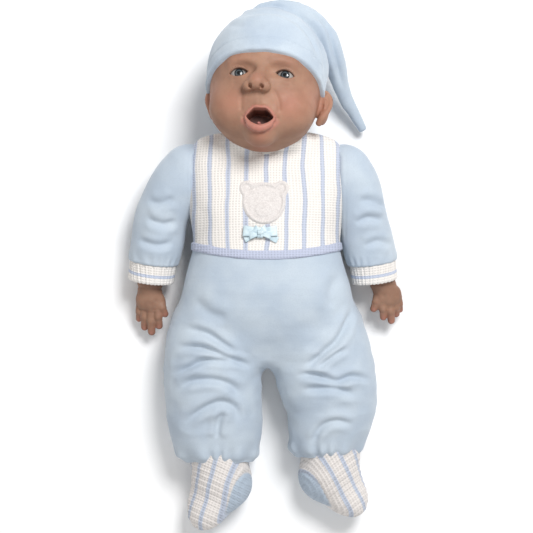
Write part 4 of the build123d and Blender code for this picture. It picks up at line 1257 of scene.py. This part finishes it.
def eyeball(name):
    """Grey iris with fine rays, a dark rim and pupil, and a white that darkens outwards."""
    look = Look(name, 0.22, Coat_Weight=0.15, Coat_Roughness=0.1, Specular_IOR_Level=0.4)
    off = look.value("off_centre")
    spoke = look.value("spoke")
    rays = look.maths("ADD", *[look.maths("SINE", look.times(spoke, n)) for n in (46, 29)])
    iris = look.mix(look.span(rays, -1.6, 1.6), tone(46, 52, 56), tone(86, 94, 98))
    iris = look.mix(look.span(off, 12, 22), iris, tone(28, 32, 36))
    white = look.mix(look.span(off, 30, 62), tone(158, 152, 148), tone(138, 112, 104))
    base = look.mix(look.span(off, 23.5, 26.5), iris, white)
    base = look.mix(look.span(off, 11.5, 9.5), base, tone(14, 14, 16))
    look.colour(base)
    look.roughness(look.span(off, 22, 30, 0.14, 0.3))
    look.bump(look.noise(6, 2), 0.03, 0.2)
    return look.material


def satin(name):
    look = Look(name, 0.34, Sheen_Weight=0.3, Anisotropic=0.4, Specular_IOR_Level=0.5)
    look.colour(look.mottled(6, 2, (178, 200, 210), (208, 224, 229)))
    look.bump(look.lines(0.5, "X", 0.6), 0.2, 0.1)
    look.bump(look.noise(4, 2), 0.2, 0.4)
    return look.material


def plush(name):
    look = Look(name, 0.97, Sheen_Weight=0.5, Sheen_Roughness=0.6, Specular_IOR_Level=0.15)
    base = look.mottled(1.2, 3, (206, 200, 197), (224, 219, 216))
    # the marks darken the embroidered face, and the stitched groove as painted shade
    look.colour(look.mix(look.times(look.value("marks"), 0.2), base, tone(190, 182, 178)))
    look.bump(look.noise(0.7, 3), 0.6, 0.5)
    look.bump(look.noise(3, 2), 0.3, 0.5)
    return look.material


def woven(name, pale, deep):
    look = Look(name, 0.93, Sheen_Weight=0.15, Specular_IOR_Level=0.2)
    base = look.mottled(20, 3, deep, pale)
    weave = look.times(look.lines(0.8, "X", 0.6), look.lines(0.8, "Y", 0.6))
    # painted shade: the low places between the threads are coloured darker
    look.colour(look.mix(look.span(weave, 0.1, 0.7, 0.2, 0.0), base, shaded(deep, 0.8)))
    look.bump(weave, 0.5, 0.2)
    return look.material


def moulded(name, pale, deep, roughness, metallic=0.0, grain=0.8):
    """Plastic, rubber or metal with a fine mould or brush texture."""
    look = Look(name, roughness, Metallic=metallic)
    look.colour(look.mottled(9, 3, deep, pale))
    look.roughness(look.span(look.noise(3, 3), 0.3, 0.7, roughness * 0.85, roughness * 1.2))
    look.bump(look.noise(grain, 2), 0.15, 0.08)
    return look.material


PALE_BLUE, DEEP_BLUE = (190, 201, 211), (176, 189, 203)
blue = jersey("blue_jersey", PALE_BLUE, DEEP_BLUE)
striped = knitted("striped_knit", (237, 232, 227), (192, 199, 216), 0.125).material
cuff_knit = knitted("cuff_knit", (236, 231, 226), (190, 198, 216), 0, (9.5, 12.5)).material
bootie_look = knitted("bootie_knit", (229, 223, 219), (190, 198, 214), 0.14)
sole_share = bootie_look.value("sole")
knit_colour = bootie_look.shader.inputs["Base Color"].links[0].from_socket
bootie_look.colour(bootie_look.mix(sole_share, knit_colour, tone(*DEEP_BLUE)))
bootie_knit = bootie_look.material
band_knit = knitted("band_knit", (188, 194, 214), (188, 194, 214), 0).material
vinyl = skin("vinyl_skin")
hand_vinyl = skin("hand_vinyl", 0.91)
eye_look = eyeball("eye_glaze")
aqua = satin("aqua_satin")
cream = plush("cream_plush")
body_cloth = woven("body_cloth", (214, 200, 184), (198, 184, 168))
lash_hair = moulded("lash_hair", (60, 42, 34), (38, 26, 22), 0.6)

SLOTS = {
    "body_cloth": body_cloth,
    "blue_jersey": blue,
    "striped_knit": band_knit,
    "lilac_band": band_knit,
    "aqua_satin": aqua,
    "pellet_cloth": woven("pellet_cloth", (206, 204, 196), (190, 188, 180)),
    "cream_plush": body_cloth,
    "vinyl_skin": moulded("plain_vinyl", (172, 130, 108), (156, 114, 94), 0.5),
    "eye_plastic": eye_look,
}
for slot, *values in (
    ("snap_plastic", (232, 236, 242), (218, 224, 232), 0.28),
    ("case_plastic", (236, 236, 232), (222, 222, 216), 0.5),
    ("steel", (190, 192, 196), (168, 170, 174), 0.3, 1.0, 0.4),
    ("cell_wrap", (60, 74, 92), (44, 56, 72), 0.3),
    ("board", (28, 96, 62), (18, 76, 48), 0.4),
    ("speaker_black", (44, 44, 46), (30, 30, 32), 0.55),
    ("white_plastic", (238, 238, 234), (224, 224, 218), 0.45),
    ("wire_grey", (112, 112, 116), (94, 94, 98), 0.6),
    ("mouth_vinyl", (96, 54, 46), (76, 40, 34), 0.4),
    ("tongue_vinyl", (190, 130, 122), (170, 108, 100), 0.35),
):
    SLOTS[slot] = moulded(slot, *values)

for part in frame["record"]["subparts"]:
    obj = frame["nodes"][part["node"]]
    obj.data.materials.clear()
    obj.data.materials.append(SLOTS[part["material_slot"]])
    obj.data.shade_smooth()
    obj.data.set_sharp_from_angle(angle=math.radians(35))

DRESSED = [
    (vinyl, [head_piece]), (hand_vinyl, hands.values()), (eye_look, eyes.values()),
    (lash_hair, lashes.values()), (blue, [cap, suit, *sleeves.values()]),
    (blue, [trouser for trouser, _ in legs.values()]), (bootie_knit, [b for _, b in legs.values()]),
    (striped, [bib]), (band_knit, [band]), (cream, [bear]), (aqua, [bow, knot]),
    (body_cloth, [flap]), (cuff_knit, cuffs.values()),
]
for material, pieces in DRESSED:
    for obj in pieces:
        p = points_of(obj)
        p[:, 2] = np.maximum(p[:, 2], 0)
        put_points(obj, p)
        obj.data.materials.clear()
        obj.data.materials.append(material)

# ---- floor, light and camera ----
floor = make_mesh("floor", [(-2500, -2500, -0.4), (2500, -2500, -0.4), (2500, 2500, -0.4),
                            (-2500, 2500, -0.4)], [(0, 1, 2, 3)])
floor_look = Look("floor_paper", 0.9, Specular_IOR_Level=0.1)
floor_look.colour(floor_look.mottled(600, 2, (246, 246, 247), (252, 252, 252)))
floor.data.materials.append(floor_look.material)


def soft_light(name, place, size, power, aim=(0, 0, 0.05)):
    data = bpy.data.lights.new(name, "AREA")
    data.shape, data.size, data.energy = "DISK", size, power
    lamp = bpy.data.objects.new(name, data)
    lamp.location = place
    lamp.rotation_euler = (Vector(place) - Vector(aim)).to_track_quat("Z", "Y").to_euler()
    bpy.context.scene.collection.objects.link(lamp)


soft_light("key", (0.5, 0.85, 1.5), 0.7, 28)
soft_light("fill", (-1.2, 0.3, 1.4), 1.2, 4)
soft_light("low", (0.2, -1.3, 1.2), 1.0, 5.5)
bpy.context.scene.view_settings.view_transform = "Standard"
world = bpy.data.worlds.new("studio")
bpy.context.scene.world = world
world.use_nodes = True
world.node_tree.nodes["Background"].inputs["Color"].default_value = (1, 1, 1, 1)
world.node_tree.nodes["Background"].inputs["Strength"].default_value = 0.36

camera = bpy.data.objects.new("camera", bpy.data.cameras.new("camera"))
camera.data.sensor_width, camera.data.lens = 36, 116.7
camera.location = (0, 0, 1.7)
camera.data.clip_start, camera.data.clip_end = 0.05, 20
bpy.context.scene.collection.objects.link(camera)
bpy.context.scene.camera = camera
